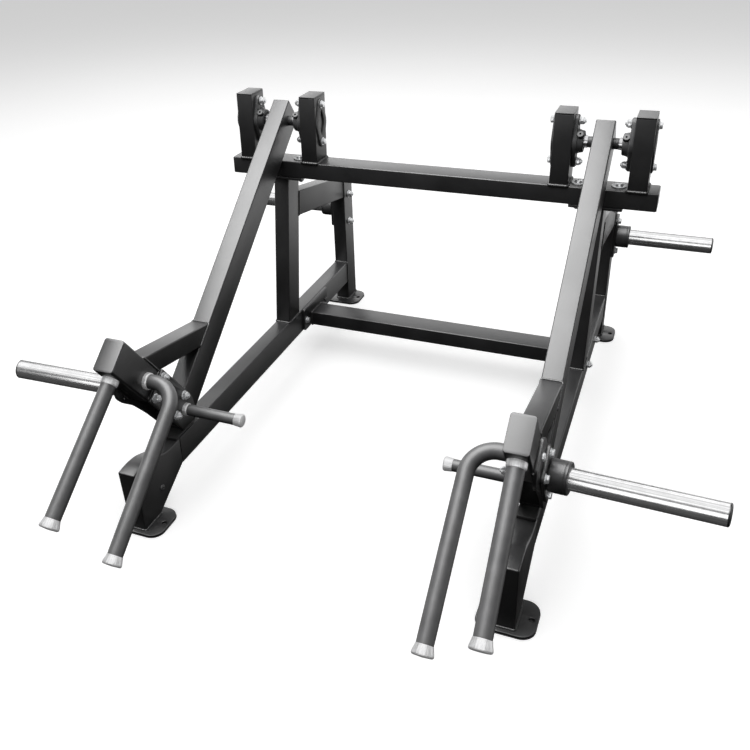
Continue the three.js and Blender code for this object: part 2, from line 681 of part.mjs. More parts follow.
// Loading horn: its tube leans a little forward and up from the bolted flange.
function loadHorn() {
    const middle = headPoint(BOLT_MIDDLE.x, BOLT_MIDDLE.y);
    const start = HALF_WIDTH + 2 * GAP + KNEE_PLATE;
    const outline = headOutline([
        [BOLT_MIDDLE.x - 83, BOLT_MIDDLE.y - 46, 12], [BOLT_MIDDLE.x + 83, BOLT_MIDDLE.y - 46, 12],
        [BOLT_MIDDLE.x + 83, BOLT_MIDDLE.y + 46, 12], [BOLT_MIDDLE.x - 83, BOLT_MIDDLE.y + 46, 12],
    ]);
    const flange = toSolid(sidePlate(outline, start, LOAD_FLANGE, 5));
    const tube = hornDirection(hornTube(-4, LOAD_TIP - FLANGE_FACE), 1);
    const placed = tube.translate([FLANGE_FACE, middle.x, middle.y]);
    const trimmed = placed.subtract(boxSolid(-100, start + 1, -2000, 0, 0, 900));
    return drillPattern(flange.add(trimmed), start - 1, FLANGE_FACE + 1);
}

function loadCollar() {
    const middle = headPoint(BOLT_MIDDLE.x, BOLT_MIDDLE.y);
    const ring = hornDirection(hornCollar(5, COLLAR_LENGTH), 1);
    return ring.translate([FLANGE_FACE, middle.x, middle.y]);
}

// Handle bar: a round section swept along a path.
function sweptGrip(path, steps, radius) {
    const circle = new THREE.Shape().absarc(0, 0, radius, 0, Math.PI * 2);
    const options = { steps, extrudePath: path, bevelEnabled: false, curveSegments: ROUND / 2 };
    return toSolid(new THREE.ExtrudeGeometry(circle, options));
}

function pathPoint(x, along, across) {
    const at = headPoint(along, across);
    return new THREE.Vector3(x, at.x, at.y);
}

function straightHandle() {
    const start = pathPoint(0, STRAIGHT_ALONG, -TUBE_DEPTH / 2 - GAP);
    const end = pathPoint(0, STRAIGHT_ALONG, -TUBE_DEPTH / 2 - STRAIGHT_LENGTH);
    return sweptGrip(new THREE.LineCurve3(start, end), 1, GRIP_RADIUS);
}

// Path of the bent handle: in from the side of the head box, round a quarter circle,
// then forward and down. One step covers each straight run.
class BentPath extends THREE.Curve {
    getPoint(t, target = new THREE.Vector3()) {
        const step = t * (BEND_STEPS + 2);
        const turn = THREE.MathUtils.clamp((step - 1) / BEND_STEPS, 0, 1) * (Math.PI / 2);
        const bendStart = -BENT_INSET + BENT_RADIUS;
        const rootRun = -HALF_WIDTH - GAP - bendStart;
        const gripRun = BENT_LENGTH - BENT_RADIUS;
        const x = bendStart - BENT_RADIUS * Math.sin(turn) + rootRun * Math.max(0, 1 - step);
        const across = -BENT_RADIUS * (1 - Math.cos(turn));
        const extra = gripRun * Math.max(0, step - 1 - BEND_STEPS);
        return target.copy(pathPoint(x, BENT_ALONG, across - extra));
    }

    getUtoTmapping(u) {
        return u;
    }
}

function bentHandle() {
    return sweptGrip(new BentPath(), BEND_STEPS + 2, GRIP_RADIUS);
}

function shortGrip() {
    const root = -HALF_WIDTH - 2 * GAP - KNEE_PLATE;
    return barX(SHORT_RADIUS, -SHORT_REACH, root, SHORT_Y, SHORT_Z);
}

// ---------------------------------------------------------------- assembly

function placeAt(mesh, x, y = 0, z = 0) {
    mesh.position.set(x, y, z);
    return mesh;
}

function addSideFrame(group, label, side) {
    const x = side * ARM_X;
    const parts = [
        ['side_rail', sideRail()],
        ['upright', upright()],
        ['front_leg', frontLeg()],
        ['rear_leg', rearLeg()],
        ['top_bar', topBar()],
    ];
    for (const [name, solid] of parts) {
        group.add(placeAt(piece(`${label}_${name}`, solid, powderCoat()), x));
    }
    const feet = [['front_foot', FRONT_FOOT_Y], ['rear_foot', REAR_FOOT_Y]];
    for (const [name, y] of feet) {
        group.add(placeAt(piece(`${label}_${name}`, footPlate(), powderCoat()), x, y));
    }
    const horn = piece(`${label}_storage_horn`, forSide(storageHorn(), side), chromePlate());
    group.add(placeAt(horn, x, storageY(), STORAGE_Z));
    const collar = forSide(hornCollar(HALF_WIDTH + GAP + HORN_FLANGE + GAP, COLLAR_LENGTH - 3), side);
    const collarMesh = piece(`${label}_storage_collar`, collar, blackRubber());
    group.add(placeAt(collarMesh, x, storageY(), STORAGE_Z));
    group.add(placeAt(piece(`${label}_stop_pad`, stopPad(), blackRubber()), x));
}

// Posts, bearing housings and back plates of one arm; the housings face the arm.
function addBearingPair(group, label, side) {
    for (const [where, outward] of [['outer', side], ['inner', -side]]) {
        const postX = side * ARM_X + outward * POST_OFFSET;
        group.add(placeAt(piece(`${label}_${where}_post`, bearingPost(), powderCoat()), postX));
        const faceX = postX - outward * HALF_WIDTH;
        const housing = forSide(bearingHousing(), -outward);
        const housingMesh = piece(`${label}_${where}_bearing_housing`, housing, castIron());
        group.add(placeAt(housingMesh, faceX, PIVOT_Y, PIVOT_Z));
        const backX = postX + outward * HALF_WIDTH;
        const back = piece(`${label}_${where}_back_plate`, forSide(backPlate(), outward), castIron());
        group.add(placeAt(back, backX, PIVOT_Y, PIVOT_Z));
    }
}

function addArm(machine, label, side) {
    const arm = new THREE.Group();
    arm.position.set(side * ARM_X, 0, 0);
    const steel = [
        ['arm_tube', armTube()],
        ['arm_brace', armBrace()],
        ['head_box', headBox()],
        ['outer_knee_plate', outerKneePlate()],
        ['inner_knee_plate', innerKneePlate()],
    ];
    for (const [name, solid] of steel) {
        arm.add(piece(`${label}_${name}`, forSide(solid, side), powderCoat()));
    }
    arm.add(piece(`${label}_load_horn`, forSide(loadHorn(), side), chromePlate()));
    arm.add(piece(`${label}_load_collar`, forSide(loadCollar(), side), blackRubber()));
    const grips = [
        ['straight_handle', straightHandle()],
        ['bent_handle', bentHandle()],
        ['short_grip', shortGrip()],
    ];
    for (const [name, solid] of grips) {
        arm.add(piece(`${label}_${name}`, forSide(solid, side), gripRubber()));
    }
    arm.add(placeAt(piece(`${label}_pivot_shaft`, pivotShaft(), polishedSteel()), 0, PIVOT_Y, PIVOT_Z));
    for (const [where, outward] of [['outer', side], ['inner', -side]]) {
        const face = outward * (POST_OFFSET - HALF_WIDTH);
        const insert = piece(
            `${label}_${where}_bearing_insert`,
            forSide(bearingInsert(), -outward),
            polishedSteel(),
        );
        arm.add(placeAt(insert, face, PIVOT_Y, PIVOT_Z));
    }
    machine.add(arm);
}

const machine = new THREE.Group();
machine.add(piece('top_beam', topBeam(), powderCoat()));
machine.add(piece('cross_tube', crossTube(), powderCoat()));
for (const [label, side] of [['left', -1], ['right', 1]]) {
    addSideFrame(machine, label, side);
    addBearingPair(machine, label, side);
    addArm(machine, label, side);
}

// The origin is on the floor under the middle of the machine's box.
const bounds = new THREE.Box3().setFromObject(machine);
machine.position.y = -(bounds.min.y + bounds.max.y) / 2;

export default machine;
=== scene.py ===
"""Looks of a plate-loaded lever squat machine, built round its CAD frame.

Lengths in the tables below are millimetres in the design frame: x = 0 is the machine's
middle, y = 0 the front face of the top beam and z = 0 the floor. Pieces are written out
in metres in the CAD frame, which is the design frame moved along y.
"""

import json
import random
from math import asin, atan2, cos, hypot, pi, radians, sin, tan

import bmesh
import bpy
from mathutils import Matrix, Vector, geometry

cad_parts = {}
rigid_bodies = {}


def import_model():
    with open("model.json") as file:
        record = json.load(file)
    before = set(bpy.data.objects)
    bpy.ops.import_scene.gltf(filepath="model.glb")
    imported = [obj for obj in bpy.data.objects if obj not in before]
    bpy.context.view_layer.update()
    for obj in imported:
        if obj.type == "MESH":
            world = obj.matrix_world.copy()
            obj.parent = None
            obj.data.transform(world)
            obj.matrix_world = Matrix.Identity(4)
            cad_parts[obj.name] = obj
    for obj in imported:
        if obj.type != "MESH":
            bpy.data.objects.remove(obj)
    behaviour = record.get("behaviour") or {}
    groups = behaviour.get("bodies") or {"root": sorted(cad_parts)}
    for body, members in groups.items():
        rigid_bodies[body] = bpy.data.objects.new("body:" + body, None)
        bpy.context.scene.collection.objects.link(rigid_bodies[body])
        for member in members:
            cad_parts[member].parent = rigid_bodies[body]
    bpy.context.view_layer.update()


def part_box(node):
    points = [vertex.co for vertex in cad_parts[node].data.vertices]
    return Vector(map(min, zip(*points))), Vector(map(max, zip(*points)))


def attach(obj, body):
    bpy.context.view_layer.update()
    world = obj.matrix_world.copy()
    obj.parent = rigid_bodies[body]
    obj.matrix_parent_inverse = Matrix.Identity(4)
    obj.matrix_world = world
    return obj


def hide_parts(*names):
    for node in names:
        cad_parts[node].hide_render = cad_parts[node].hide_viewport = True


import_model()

MM = 0.001
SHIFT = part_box("top_beam")[0].y / MM

SIDES = (("left", -1), ("right", 1))

# -------- dimensions

ARM_X = 488
WIDTH = 50
DEPTH = 83
CORNER = 3.5
HALF = WIDTH / 2
BOLT_HOLE = 6.5
BOLT = 8
FLANGE = 8
RIM_ANGLE = 0.6  # radians: sharper edges of a cut tube are rounded

BEAM_HALF = 648
BEAM_BOTTOM = 666
BEAM_TOP = 718
POST_WIDTH = 52
POST_CORNER = 2.5
POST_OFFSET = 106
POST_TOP = 922
POST_CAP = 5
BORE_RADIUS = 21
BORE_REACH = 22
PIVOT = (40, 837)
BEARING_BOLT = 57
BEARING_MIDDLE = 37
BEARING_END = 17
BEARING_FOOT = 12
BACKING = 6
SHAFT_RADIUS = 12.8
SPACER_RADIUS = 15.2
INSERT_RADIUS = 16.2
INSERT_SPAN = (41, 75)

RAIL_TOP = 168
RAIL_MIDDLE = RAIL_TOP - DEPTH / 2
FRONT_LEG_BACK = -769
FRONT_LEG_FOOT = (-938.5, 77)
FRONT_LEG = (
    (-977, 8, 0), (-900, 8, 0), (-769, 86, 0), (-769, 168, 3), (-833, 168, 20),
    (-872, 180, 14), (-908, 194, 14), (-948, 198, 14), (-987, 193.5, 4),
)
LEG_STUD = (-881, 79)
STOP_MIDDLE = -738.5
UPRIGHT_Y = -8.5
UPRIGHT_LEAN = radians(6.9)
UPRIGHT_PLATE_Z = 658
UPRIGHT_BOLT_X = 55
REAR_LEG_FRONT = 493.4
REAR_LEAN = radians(2.3)
REAR_LEG_TOP = 524
REAR_LEG_CAP = 4
TOP_BAR = (82, 552)
TOP_BAR_ANGLE = radians(-10.5)
FOOT_PLATE = 8
FOOT_PAD = 1.4
FOOT_SIZE = (138, 117)
ANCHOR_OFFSET = 54
FOOT_Y = {"front": -933, "rear": 519}
CROSS = (158.5, 105)
CROSS_FLANGE_Z = 126
CROSS_BOLTS = ((72, 121), (245, 121))
STORAGE_Z = 384
STORAGE_Y = REAR_LEG_FRONT + DEPTH / 2 - STORAGE_Z * tan(REAR_LEAN)
STORAGE_BOLT = 54
STORAGE_LENGTH = 308.5
STORAGE_COLLAR = (8.2, 50, 37)
HORN_RADIUS = 25.6

ARM_ANGLE = radians(38.56)
ARM_WIDTH = 53
ARM_DEPTH = 90
ARM_TAIL = 43
ARM_FRONT = -744
ARM_SOLE = 184
BRACE_ANGLE = radians(-10.4)
BRACE_TOP = (-744, 449.5)
BRACE_DEPTH = 56
HEAD_ANGLE = radians(52)
HEAD_START = (-969.5, 533)
HEAD_LENGTH = 188
HEAD_WIDTH = 55
HEAD_DEPTH = 87
HEAD_CORNER = 7
HEAD_LID = 4
KNEE_FACE = HEAD_WIDTH / 2 + 0.1
KNEE_PLATE = 8
KNEE_OUT = KNEE_FACE + KNEE_PLATE
KNEE_BOTTOM = 192
KNEE_BOLTS = tuple((a, b) for a in (203, 333) for b in (-25.5, 33.5))
OUTER_KNEE = (
    (108, 36, 10), (112, -41, 6), (140, -64, 12), (172, -64, 18), (226, -50, 12),
    (300, -45, 20), (440, -45, 0), (440, 20, 0), (380, 50, 18), (150, 50, 20),
)
INNER_KNEE = (
    (188.3, 50, 3), (188.3, -43, 3), (300, -45, 20), (440, -45, 0), (440, 20, 0), (372, 50, 18),
)
LOAD_MIDDLE = (268, 4)
LOAD_FLANGE = ((185, -42, 12), (351, -42, 12), (351, 50, 12), (185, 50, 12))
LOAD_FACE = 43.6
LOAD_AXIS = Vector((0.99202, -0.11147, 0.05894)).normalized()
LOAD_LENGTH = 371
LOAD_COLLAR = (3.5, 48, 38.5)

GRIP = 19
STRAIGHT_ALONG = 45
STRAIGHT_END = 417
STRAIGHT_SPLAY = 0.02
CAP_LENGTH = 25
CAP_FLARE = 1.27
CAP_OVERLAP = 2
BENT_ALONG = 151
BENT_INSET = 116
BENT_RADIUS = 62
BENT_END = 450
SHORT_GRIP = (-740, 247)
SHORT_RADIUS = 15.6
SHORT_END = 214
SHORT_CAP = 24
SHORT_FLARE = 1.16

WELD_STEP = 2.2
WELD_RIPPLE = 7
WELD_SWELL = 0.1

# -------- node materials


def node_material(name):
    material = bpy.data.materials.new(name)
    material.use_nodes = True
    tree = material.node_tree
    return material, tree, tree.nodes["Principled BSDF"]


def finish_surface(tree, shader, colour, roughness, normal, specular=None):
    for name, output in (("Base Color", colour), ("Roughness", roughness), ("Normal", normal)):
        tree.links.new(output, shader.inputs[name])
    if specular is not None:
        shader.inputs["Specular IOR Level"].default_value = specular


def texture_space(tree, scale=(1.0, 1.0, 1.0)):
    coordinates = tree.nodes.new("ShaderNodeTexCoord")
    mapping = tree.nodes.new("ShaderNodeMapping")
    mapping.inputs["Scale"].default_value = scale
    tree.links.new(coordinates.outputs["Object"], mapping.inputs["Vector"])
    return mapping.outputs["Vector"]


def noise(tree, vector, scale, detail=4.0, roughness=0.55, distortion=0.0):
    node = tree.nodes.new("ShaderNodeTexNoise")
    node.inputs["Scale"].default_value = scale
    node.inputs["Detail"].default_value = detail
    node.inputs["Roughness"].default_value = roughness
    node.inputs["Distortion"].default_value = distortion
    tree.links.new(vector, node.inputs["Vector"])
    return node.outputs["Fac"]


def remap(tree, value, low, high, out_low=0.0, out_high=1.0):
    node = tree.nodes.new("ShaderNodeMapRange")
    limits = {"From Min": low, "From Max": high, "To Min": out_low, "To Max": out_high}
    for name, limit in limits.items():
        node.inputs[name].default_value = limit
    tree.links.new(value, node.inputs["Value"])
    return node.outputs["Result"]


def connect(tree, value, socket):
    """Links a node's output to a socket, or sets a plain value on it."""
    if isinstance(value, bpy.types.NodeSocket):
        tree.links.new(value, socket)
    else:
        socket.default_value = value


def mix_colour(tree, factor, dark, light):
    node = tree.nodes.new("ShaderNodeMix")
    node.data_type = "RGBA"
    tree.links.new(factor, node.inputs["Factor"])
    for socket_name, colour in (("A", dark), ("B", light)):
        target = [i for i in node.inputs if i.name == socket_name and i.type == "RGBA"][0]
        connect(tree, (*colour, 1.0) if isinstance(colour, tuple) else colour, target)
    return [o for o in node.outputs if o.type == "RGBA"][0]


def mottled(tree, cloud, dark, light, low=0.3, high=0.7):
    return mix_colour(tree, remap(tree, cloud, low, high), dark, light)


def math_node(tree, operation, first, second):
    node = tree.nodes.new("ShaderNodeMath")
    node.operation = operation
    for socket, value in zip(node.inputs, (first, second)):
        connect(tree, value, socket)
    return node.outputs["Value"]


def bump(tree, height, strength, distance, normal=None):
    node = tree.nodes.new("ShaderNodeBump")
    node.inputs["Strength"].default_value = strength
    node.inputs["Distance"].default_value = distance
    tree.links.new(height, node.inputs["Height"])
    if normal is not None:
        tree.links.new(normal, node.inputs["Normal"])
    return node.outputs["Normal"]


def edge_mask(tree, radius):
    """1 on sharp edges and 0 on flats, from the gap between true and rounded normals."""
    rounded = tree.nodes.new("ShaderNodeBevel")
    rounded.samples = 4
    rounded.inputs["Radius"].default_value = radius
    surface = tree.nodes.new("ShaderNodeNewGeometry")
    dot = tree.nodes.new("ShaderNodeVectorMath")
    dot.operation = "DOT_PRODUCT"
    tree.links.new(rounded.outputs["Normal"], dot.inputs[0])
    tree.links.new(surface.outputs["Normal"], dot.inputs[1])
    return remap(tree, dot.outputs["Value"], 0.97, 0.8)


def powder_coat():
    """Black fine-texture powder coat: orange peel, faint dust, and lighter sharp edges that are a
    painted edge highlight.
    """
    material, tree, shader = node_material("black_powder_coat")
    space = texture_space(tree)
    cloud = noise(tree, space, 9.0, 6.0)
    grain = noise(tree, space, 1400.0, 3.0)
    peel = noise(tree, space, 420.0, 2.0)
    dust = remap(tree, noise(tree, space, 160.0, 5.0, 0.7), 0.62, 0.8)
    coat = mottled(tree, cloud, (0.012, 0.012, 0.0125), (0.019, 0.019, 0.0195))
    dusty = mix_colour(tree, math_node(tree, "MULTIPLY", dust, 0.25), coat, (0.06, 0.06, 0.058))
    patches = remap(tree, cloud, 0.4, 0.65, 0.1, 0.55)
    # lighter colour on sharp edges, in random patches: a painted edge highlight
    painted_edge_highlight = math_node(tree, "MULTIPLY", edge_mask(tree, 0.0022), patches)
    colour = mix_colour(tree, painted_edge_highlight, dusty, (0.14, 0.14, 0.145))
    normal = bump(tree, grain, 0.3, 0.00012, bump(tree, peel, 0.25, 0.0003))
    finish_surface(tree, shader, colour, remap(tree, cloud, 0.3, 0.7, 0.34, 0.42), normal, 0.8)
    return material


def cast_paint():
    """Dark paint over a sand-cast skin."""
    material, tree, shader = node_material("cast_paint")
    space = texture_space(tree)
    sand = noise(tree, space, 700.0, 5.0, 0.65)
    cloud = noise(tree, space, 30.0, 4.0)
    paint = mottled(tree, cloud, (0.03, 0.03, 0.031), (0.06, 0.06, 0.061), 0.35)
    # lighter colour on sharp edges: a painted edge highlight
    painted_edge_highlight = math_node(tree, "MULTIPLY", edge_mask(tree, 0.0015), 0.35)
    colour = mix_colour(tree, painted_edge_highlight, paint, (0.2, 0.2, 0.2))
    roughness = remap(tree, sand, 0.3, 0.7, 0.38, 0.55)
    finish_surface(tree, shader, colour, roughness, bump(tree, sand, 0.5, 0.0005))
    return material


def bare_metal(name, base, roughness, grain_scale, relief, stretch=(1, 1, 1), grain_and_reflection_streaks=0.25, metallic=1):
    """Plated or ground steel: fine grain stretched along one direction, its streaks darker in the
    colour; these dark streaks are real grain on the plated and ground parts and a painted reflection
    along the chrome horns.
    """
    material, tree, shader = node_material(name)
    grain = noise(tree, texture_space(tree, stretch), grain_scale, 5.0, 0.6)
    cloud = noise(tree, texture_space(tree), 35.0, 5.0, 0.6)
    patches = remap(tree, cloud, 0.3, 0.6, 0.55, 1.0)
    streak = math_node(tree, "MULTIPLY", remap(tree, grain, 0.36, 0.56), patches)
    colour = mix_colour(tree, streak, tuple(c * (1.0 - grain_and_reflection_streaks) for c in base), base)
    rough = remap(tree, grain, 0.3, 0.7, roughness * 0.7, roughness * 1.4)
    finish_surface(tree, shader, colour, rough, bump(tree, grain, relief, 0.0002))
    shader.inputs["Metallic"].default_value = metallic
    return material


def rubber(name, dark, light, rough, scale, ribs=0.0):
    """Matt rubber: mottled colour, fine pores and, where asked, fine rings along local z."""
    material, tree, shader = node_material(name)
    space = texture_space(tree)
    cloud = noise(tree, space, 26.0, 5.0, 0.6)
    pores = noise(tree, space, scale, 4.0, 0.7)
    normal = bump(tree, pores, 0.35, 0.0003)
    if ribs:
        rings = tree.nodes.new("ShaderNodeTexWave")
        rings.bands_direction = "Z"
        rings.inputs["Scale"].default_value = ribs
        rings.inputs["Distortion"].default_value = 0.6
        rings.inputs["Detail"].default_value = 2.0
        tree.links.new(space, rings.inputs["Vector"])
        normal = bump(tree, rings.outputs["Fac"], 0.12, 0.0002, normal)
    roughness = remap(tree, pores, 0.3, 0.7, rough - 0.06, rough + 0.08)
    finish_surface(tree, shader, mottled(tree, cloud, dark, light), roughness, normal, 0.7)
    return material


def moulded_plastic():
    """Black moulded plastic for tube and horn plugs."""
    material, tree, shader = node_material("moulded_plastic")
    space = texture_space(tree)
    swirl = noise(tree, space, 60.0, 4.0, 0.5, 1.5)
    scuff = noise(tree, space, 900.0, 4.0, 0.7)
    colour = mottled(tree, swirl, (0.012, 0.012, 0.013), (0.024, 0.024, 0.025))
    roughness = remap(tree, scuff, 0.35, 0.75, 0.2, 0.36)
    finish_surface(tree, shader, colour, roughness, bump(tree, scuff, 0.12, 0.0002))
    return material


def studio_floor():
    """Pale studio floor with a faint mottle."""
    material, tree, shader = node_material("studio_floor")
    mottle = noise(tree, texture_space(tree), 1.6, 6.0)
    colour = mix_colour(tree, mottle, (0.86, 0.86, 0.86), (0.9, 0.9, 0.9))
    tree.links.new(colour, shader.inputs["Base Color"])
    shader.inputs["Roughness"].default_value = 0.9
    shader.inputs["Specular IOR Level"].default_value = 0.1
    shader.inputs["Emission Color"].default_value = (1.0, 1.0, 1.0, 1.0)
    shader.inputs["Emission Strength"].default_value = 0.45
    return material


POWDER = powder_coat()
CAST = cast_paint()
ZINC = bare_metal("zinc_plate", (0.86, 0.87, 0.88), 0.3, 900.0, 0.12, metallic=0.75)
GROUND = bare_metal("ground_steel", (0.66, 0.66, 0.67), 0.24, 500.0, 0.1, (1, 1, 6))
# strong dark streaks along the horn's length in its colour: a painted reflection
CHROME = bare_metal("horn_chrome", (0.95, 0.95, 0.955), 0.2, 60.0, 0.12, (7, 7, 0.025), 0.45, 0.86)
CAP_METAL = bare_metal("cap_aluminium", (0.96, 0.96, 0.965), 0.42, 90.0, 0.2, (6, 6, 0.5), 0.22, 0.55)
GRIP_RUBBER = rubber("ribbed_grip_rubber", (0.045, 0.045, 0.046), (0.07, 0.07, 0.071), 0.44, 1100, 160)
BLOCK_RUBBER = rubber("block_rubber", (0.026, 0.026, 0.027), (0.05, 0.05, 0.051), 0.42, 800.0)
PAD_RUBBER = rubber("pad_rubber", (0.004, 0.004, 0.004), (0.009, 0.009, 0.009), 0.62, 700.0)
PLASTIC = moulded_plastic()
FLOOR = studio_floor()

# -------- mesh helpers


def place(x, y, z):
    """A design point, in metres in the CAD frame."""
    return Vector((x, y + SHIFT, z)) * MM


def head(along, across, x=0.0):
    """A design point given along and across the head box."""
    c, s = cos(HEAD_ANGLE), sin(HEAD_ANGLE)
    y = HEAD_START[0] + along * c + across * s
    z = HEAD_START[1] - along * s + across * c
    return Vector((x, y, z))


HEAD_DOWN = (head(1, 0) - head(0, 0)).normalized()
HEAD_UP = (head(0, 1) - head(0, 0)).normalized()
X_AXIS = Vector((1, 0, 0))
Y_AXIS = Vector((0, 1, 0))
Z_AXIS = Vector((0, 0, 1))


def adder(label, body):
    """add_piece for one body, with the label put before each name."""
    def add(name, bm, material, node=None, *rest, **more):
        node = node and f"{label}_{node}"
        return add_piece(f"{label}_{name}", bm, material, body, node, *rest, **more)
    return add


def link(item):
    bpy.context.scene.collection.objects.link(item)


def shade(mesh, sharp=34):
    mesh.polygons.foreach_set("use_smooth", [True] * len(mesh.polygons))
    mesh.set_sharp_from_angle(angle=radians(sharp))


def add_piece(name, bm, material, body, node=None, axis=None, at=None, sharp=34):
    """Writes a mesh given in millimetres. With axis and at it keeps its own frame, whose z
    lies along axis."""
    outward(bm)
    to_frame = Matrix.Scale(MM, 4)
    if at is None:
        to_frame = to_frame @ Matrix.Translation((0, SHIFT, 0))
    bm.transform(to_frame)
    mesh = bpy.data.meshes.new(name)
    bm.to_mesh(mesh)
    bm.free()
    shade(mesh, sharp)
    mesh.materials.append(material)
    piece = bpy.data.objects.new(name, mesh)
    link(piece)
    if at is not None:
        turn = Z_AXIS.rotation_difference(axis).to_matrix().to_4x4()
        piece.matrix_world = Matrix.Translation(place(*at)) @ turn
    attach(piece, body)
    if node:
        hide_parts(node)
    return piece


def joined(meshes):
    """One mesh out of several, each given as a bmesh in the same frame."""
    out = bmesh.new()
    for bm in meshes:
        part = bpy.data.meshes.new("part")
        bm.to_mesh(part)
        bm.free()
        out.from_mesh(part)
        bpy.data.meshes.remove(part)
    return out


def moved(bm, at, axis=Z_AXIS, spin=0.0):
    """Turns local z onto axis, then moves the mesh to a design point."""
    turn = Z_AXIS.rotation_difference(axis).to_matrix().to_4x4()
    bm.transform(Matrix.Translation(at) @ turn @ Matrix.Rotation(spin, 4, "Z"))
    return bm


def hole_pair(radius, reach, middle, steps):
    """Two holes at the same reach on either side of a middle point."""
    (u, v), (du, dv) = middle, reach
    return [circle(radius, (u + k * du, v + k * dv), steps) for k in (-1, 1)]


def rounded_rectangle(width, depth, corner, steps=6):
    points = []
    for quarter, (u, v) in enumerate(((1, 1), (-1, 1), (-1, -1), (1, -1))):
        centre = (u * (width / 2 - corner), v * (depth / 2 - corner))
        start = quarter * pi / 2
        points += arc(corner, start, start + pi / 2, steps, centre)
    return points


def bent_corner(before, corner, after, radius, steps):
    """Points of a smooth curve that stands in for a corner."""
    corner = Vector(corner)
    enter = corner + (Vector(before) - corner).normalized() * radius
    leave = corner + (Vector(after) - corner).normalized() * radius
    for k in range(steps + 1):
        t = k / steps
        yield tuple(enter * (1 - t) ** 2 + corner * 2 * t * (1 - t) + leave * t**2)


def soft_outline(points, steps=5):
    """Closed outline whose corners, given as (u, v, radius), are rounded."""
    out = []
    for i, (u, v, radius) in enumerate(points):
        if radius <= 0:
            out.append((u, v))
            continue
        after = points[(i + 1) % len(points)]
        out += bent_corner(points[i - 1][:2], (u, v), after[:2], radius, steps)
    return out


def arc(radius, start, stop, steps, centre=(0.0, 0.0)):
    turn = (stop - start) / steps
    angles = [start + turn * i for i in range(steps + 1)]
    return [(centre[0] + radius * cos(a), centre[1] + radius * sin(a)) for a in angles]


def circle(radius, centre=(0.0, 0.0), steps=28):
    return arc(radius, 0, 2 * pi, steps, centre)[:-1]


def inset(loop, distance):
    """The loop moved to its left by distance, so inwards when it runs anticlockwise."""
    out = []
    for i, point in enumerate(loop):
        here = Vector(point)
        before = (here - Vector(loop[i - 1])).normalized()
        after = (Vector(loop[(i + 1) % len(loop)]) - here).normalized()
        normal = Vector((-before.y - after.y, before.x + after.x)).normalized()
        scale = max(0.35, normal.dot(Vector((-after.y, after.x))))
        out.append(tuple(here + normal * (distance / scale)))
    return out


def stitch(bm, low, high):
    """A band of faces between two rings. A ring of one vertex is a point."""
    count = max(len(low), len(high))
    if count == 1:
        return
    for i in range(count):
        k = (i + 1) % count
        if len(low) == 1:
            bm.faces.new((low[0], high[k], high[i]))
        elif len(high) == 1:
            bm.faces.new((low[i], low[k], high[0]))
        else:
            bm.faces.new((low[i], low[k], high[k], high[i]))


def outward(bm):
    bmesh.ops.recalc_face_normals(bm, faces=bm.faces)
    return bm


def skin(bm, rings, ends=True):
    for low, high in zip(rings, rings[1:]):
        stitch(bm, low, high)
    if ends:
        bm.faces.new(rings[0])
        bm.faces.new(rings[-1])
    return outward(bm)


def plate(outline, thickness, edge=0.8, holes=(), steps=2):
    """Flat plate on z = 0 to thickness, its rims and the rims of its holes rounded."""
    rim = arc(edge, 0, pi / 2, steps)
    levels = [(edge - v, edge - u) for u, v in rim]
    levels += [(d, thickness - h) for d, h in reversed(levels)]
    bm = bmesh.new()
    caps = ([], [])
    for loop in [outline] + [list(reversed(hole)) for hole in holes]:
        rings = [[bm.verts.new((u, v, h)) for u, v in inset(loop, d)] for d, h in levels]
        skin(bm, rings, ends=False)
        caps[0].append(rings[0])
        caps[1].append(rings[-1])
    for rings in caps:
        flat = [v for ring in rings for v in ring]
        for triangle in geometry.tessellate_polygon([[v.co for v in ring] for ring in rings]):
            bm.faces.new([flat[i] for i in triangle])
    return outward(bm)


def place_on(bm, at, facing):
    """Puts a mesh drawn with x as y, y as z and z outwards onto a face across x."""
    bm.transform(Matrix(((0, 0, facing, at[0]), (1, 0, 0, at[1]), (0, 1, 0, at[2]), (0, 0, 0, 1))))
    return bm


def shifted(bm, x, y, z):
    bm.transform(Matrix.Translation((x, y, z)))
    return bm


def side_plate(outline, thickness, x, facing=1, edge=0.8, holes=(), steps=2):
    """Plate with a (y, z) outline that starts at x and grows along x, or back if facing is -1."""
    return place_on(plate(outline, thickness, edge, holes, steps), (x, 0, 0), facing)


def lathe(points, segments=56, steps=4):
    """Turned solid about z. Its profile runs (radius, height) or, where a corner is
    rounded, (radius, height, rounding), from the axis or round a bore."""
    profile = []
    for i, (r, h, *rounding) in enumerate(points):
        if not rounding or rounding[0] <= 0 or i in (0, len(points) - 1):
            profile.append((r, h))
        else:
            profile += bent_corner(points[i - 1][:2], (r, h), points[i + 1][:2], *rounding, steps)
    bm = bmesh.new()
    rings = []
    for radius, height in profile:
        points = circle(radius, steps=segments) if radius > 0 else [(0, 0)]
        rings.append([bm.verts.new((x, y, height)) for x, y in points])
    if profile[0][0] > 0:
        rings.append(rings[0])
    return skin(bm, rings, ends=False)


def ring_profile(inner, outer, low, high, rounding):
    """Closed profile of a collar with rounded outer rims."""
    return [(inner, low), (outer, low, rounding), (outer, high, rounding), (inner, high)]


def bar(width, depth, origin, angle, cuts, corner=CORNER, rim=1.2):
    """Tube in the side plane through origin, along (cos angle, sin angle), trimmed by
    planes given as (point, outward normal). Returns the mesh and a loop per cut."""
    along = Vector((0, cos(angle), sin(angle)))
    up = Vector((0, -sin(angle), cos(angle)))
    return straight_bar(rounded_rectangle(width, depth, corner), origin, X_AXIS, up, along, cuts, rim)


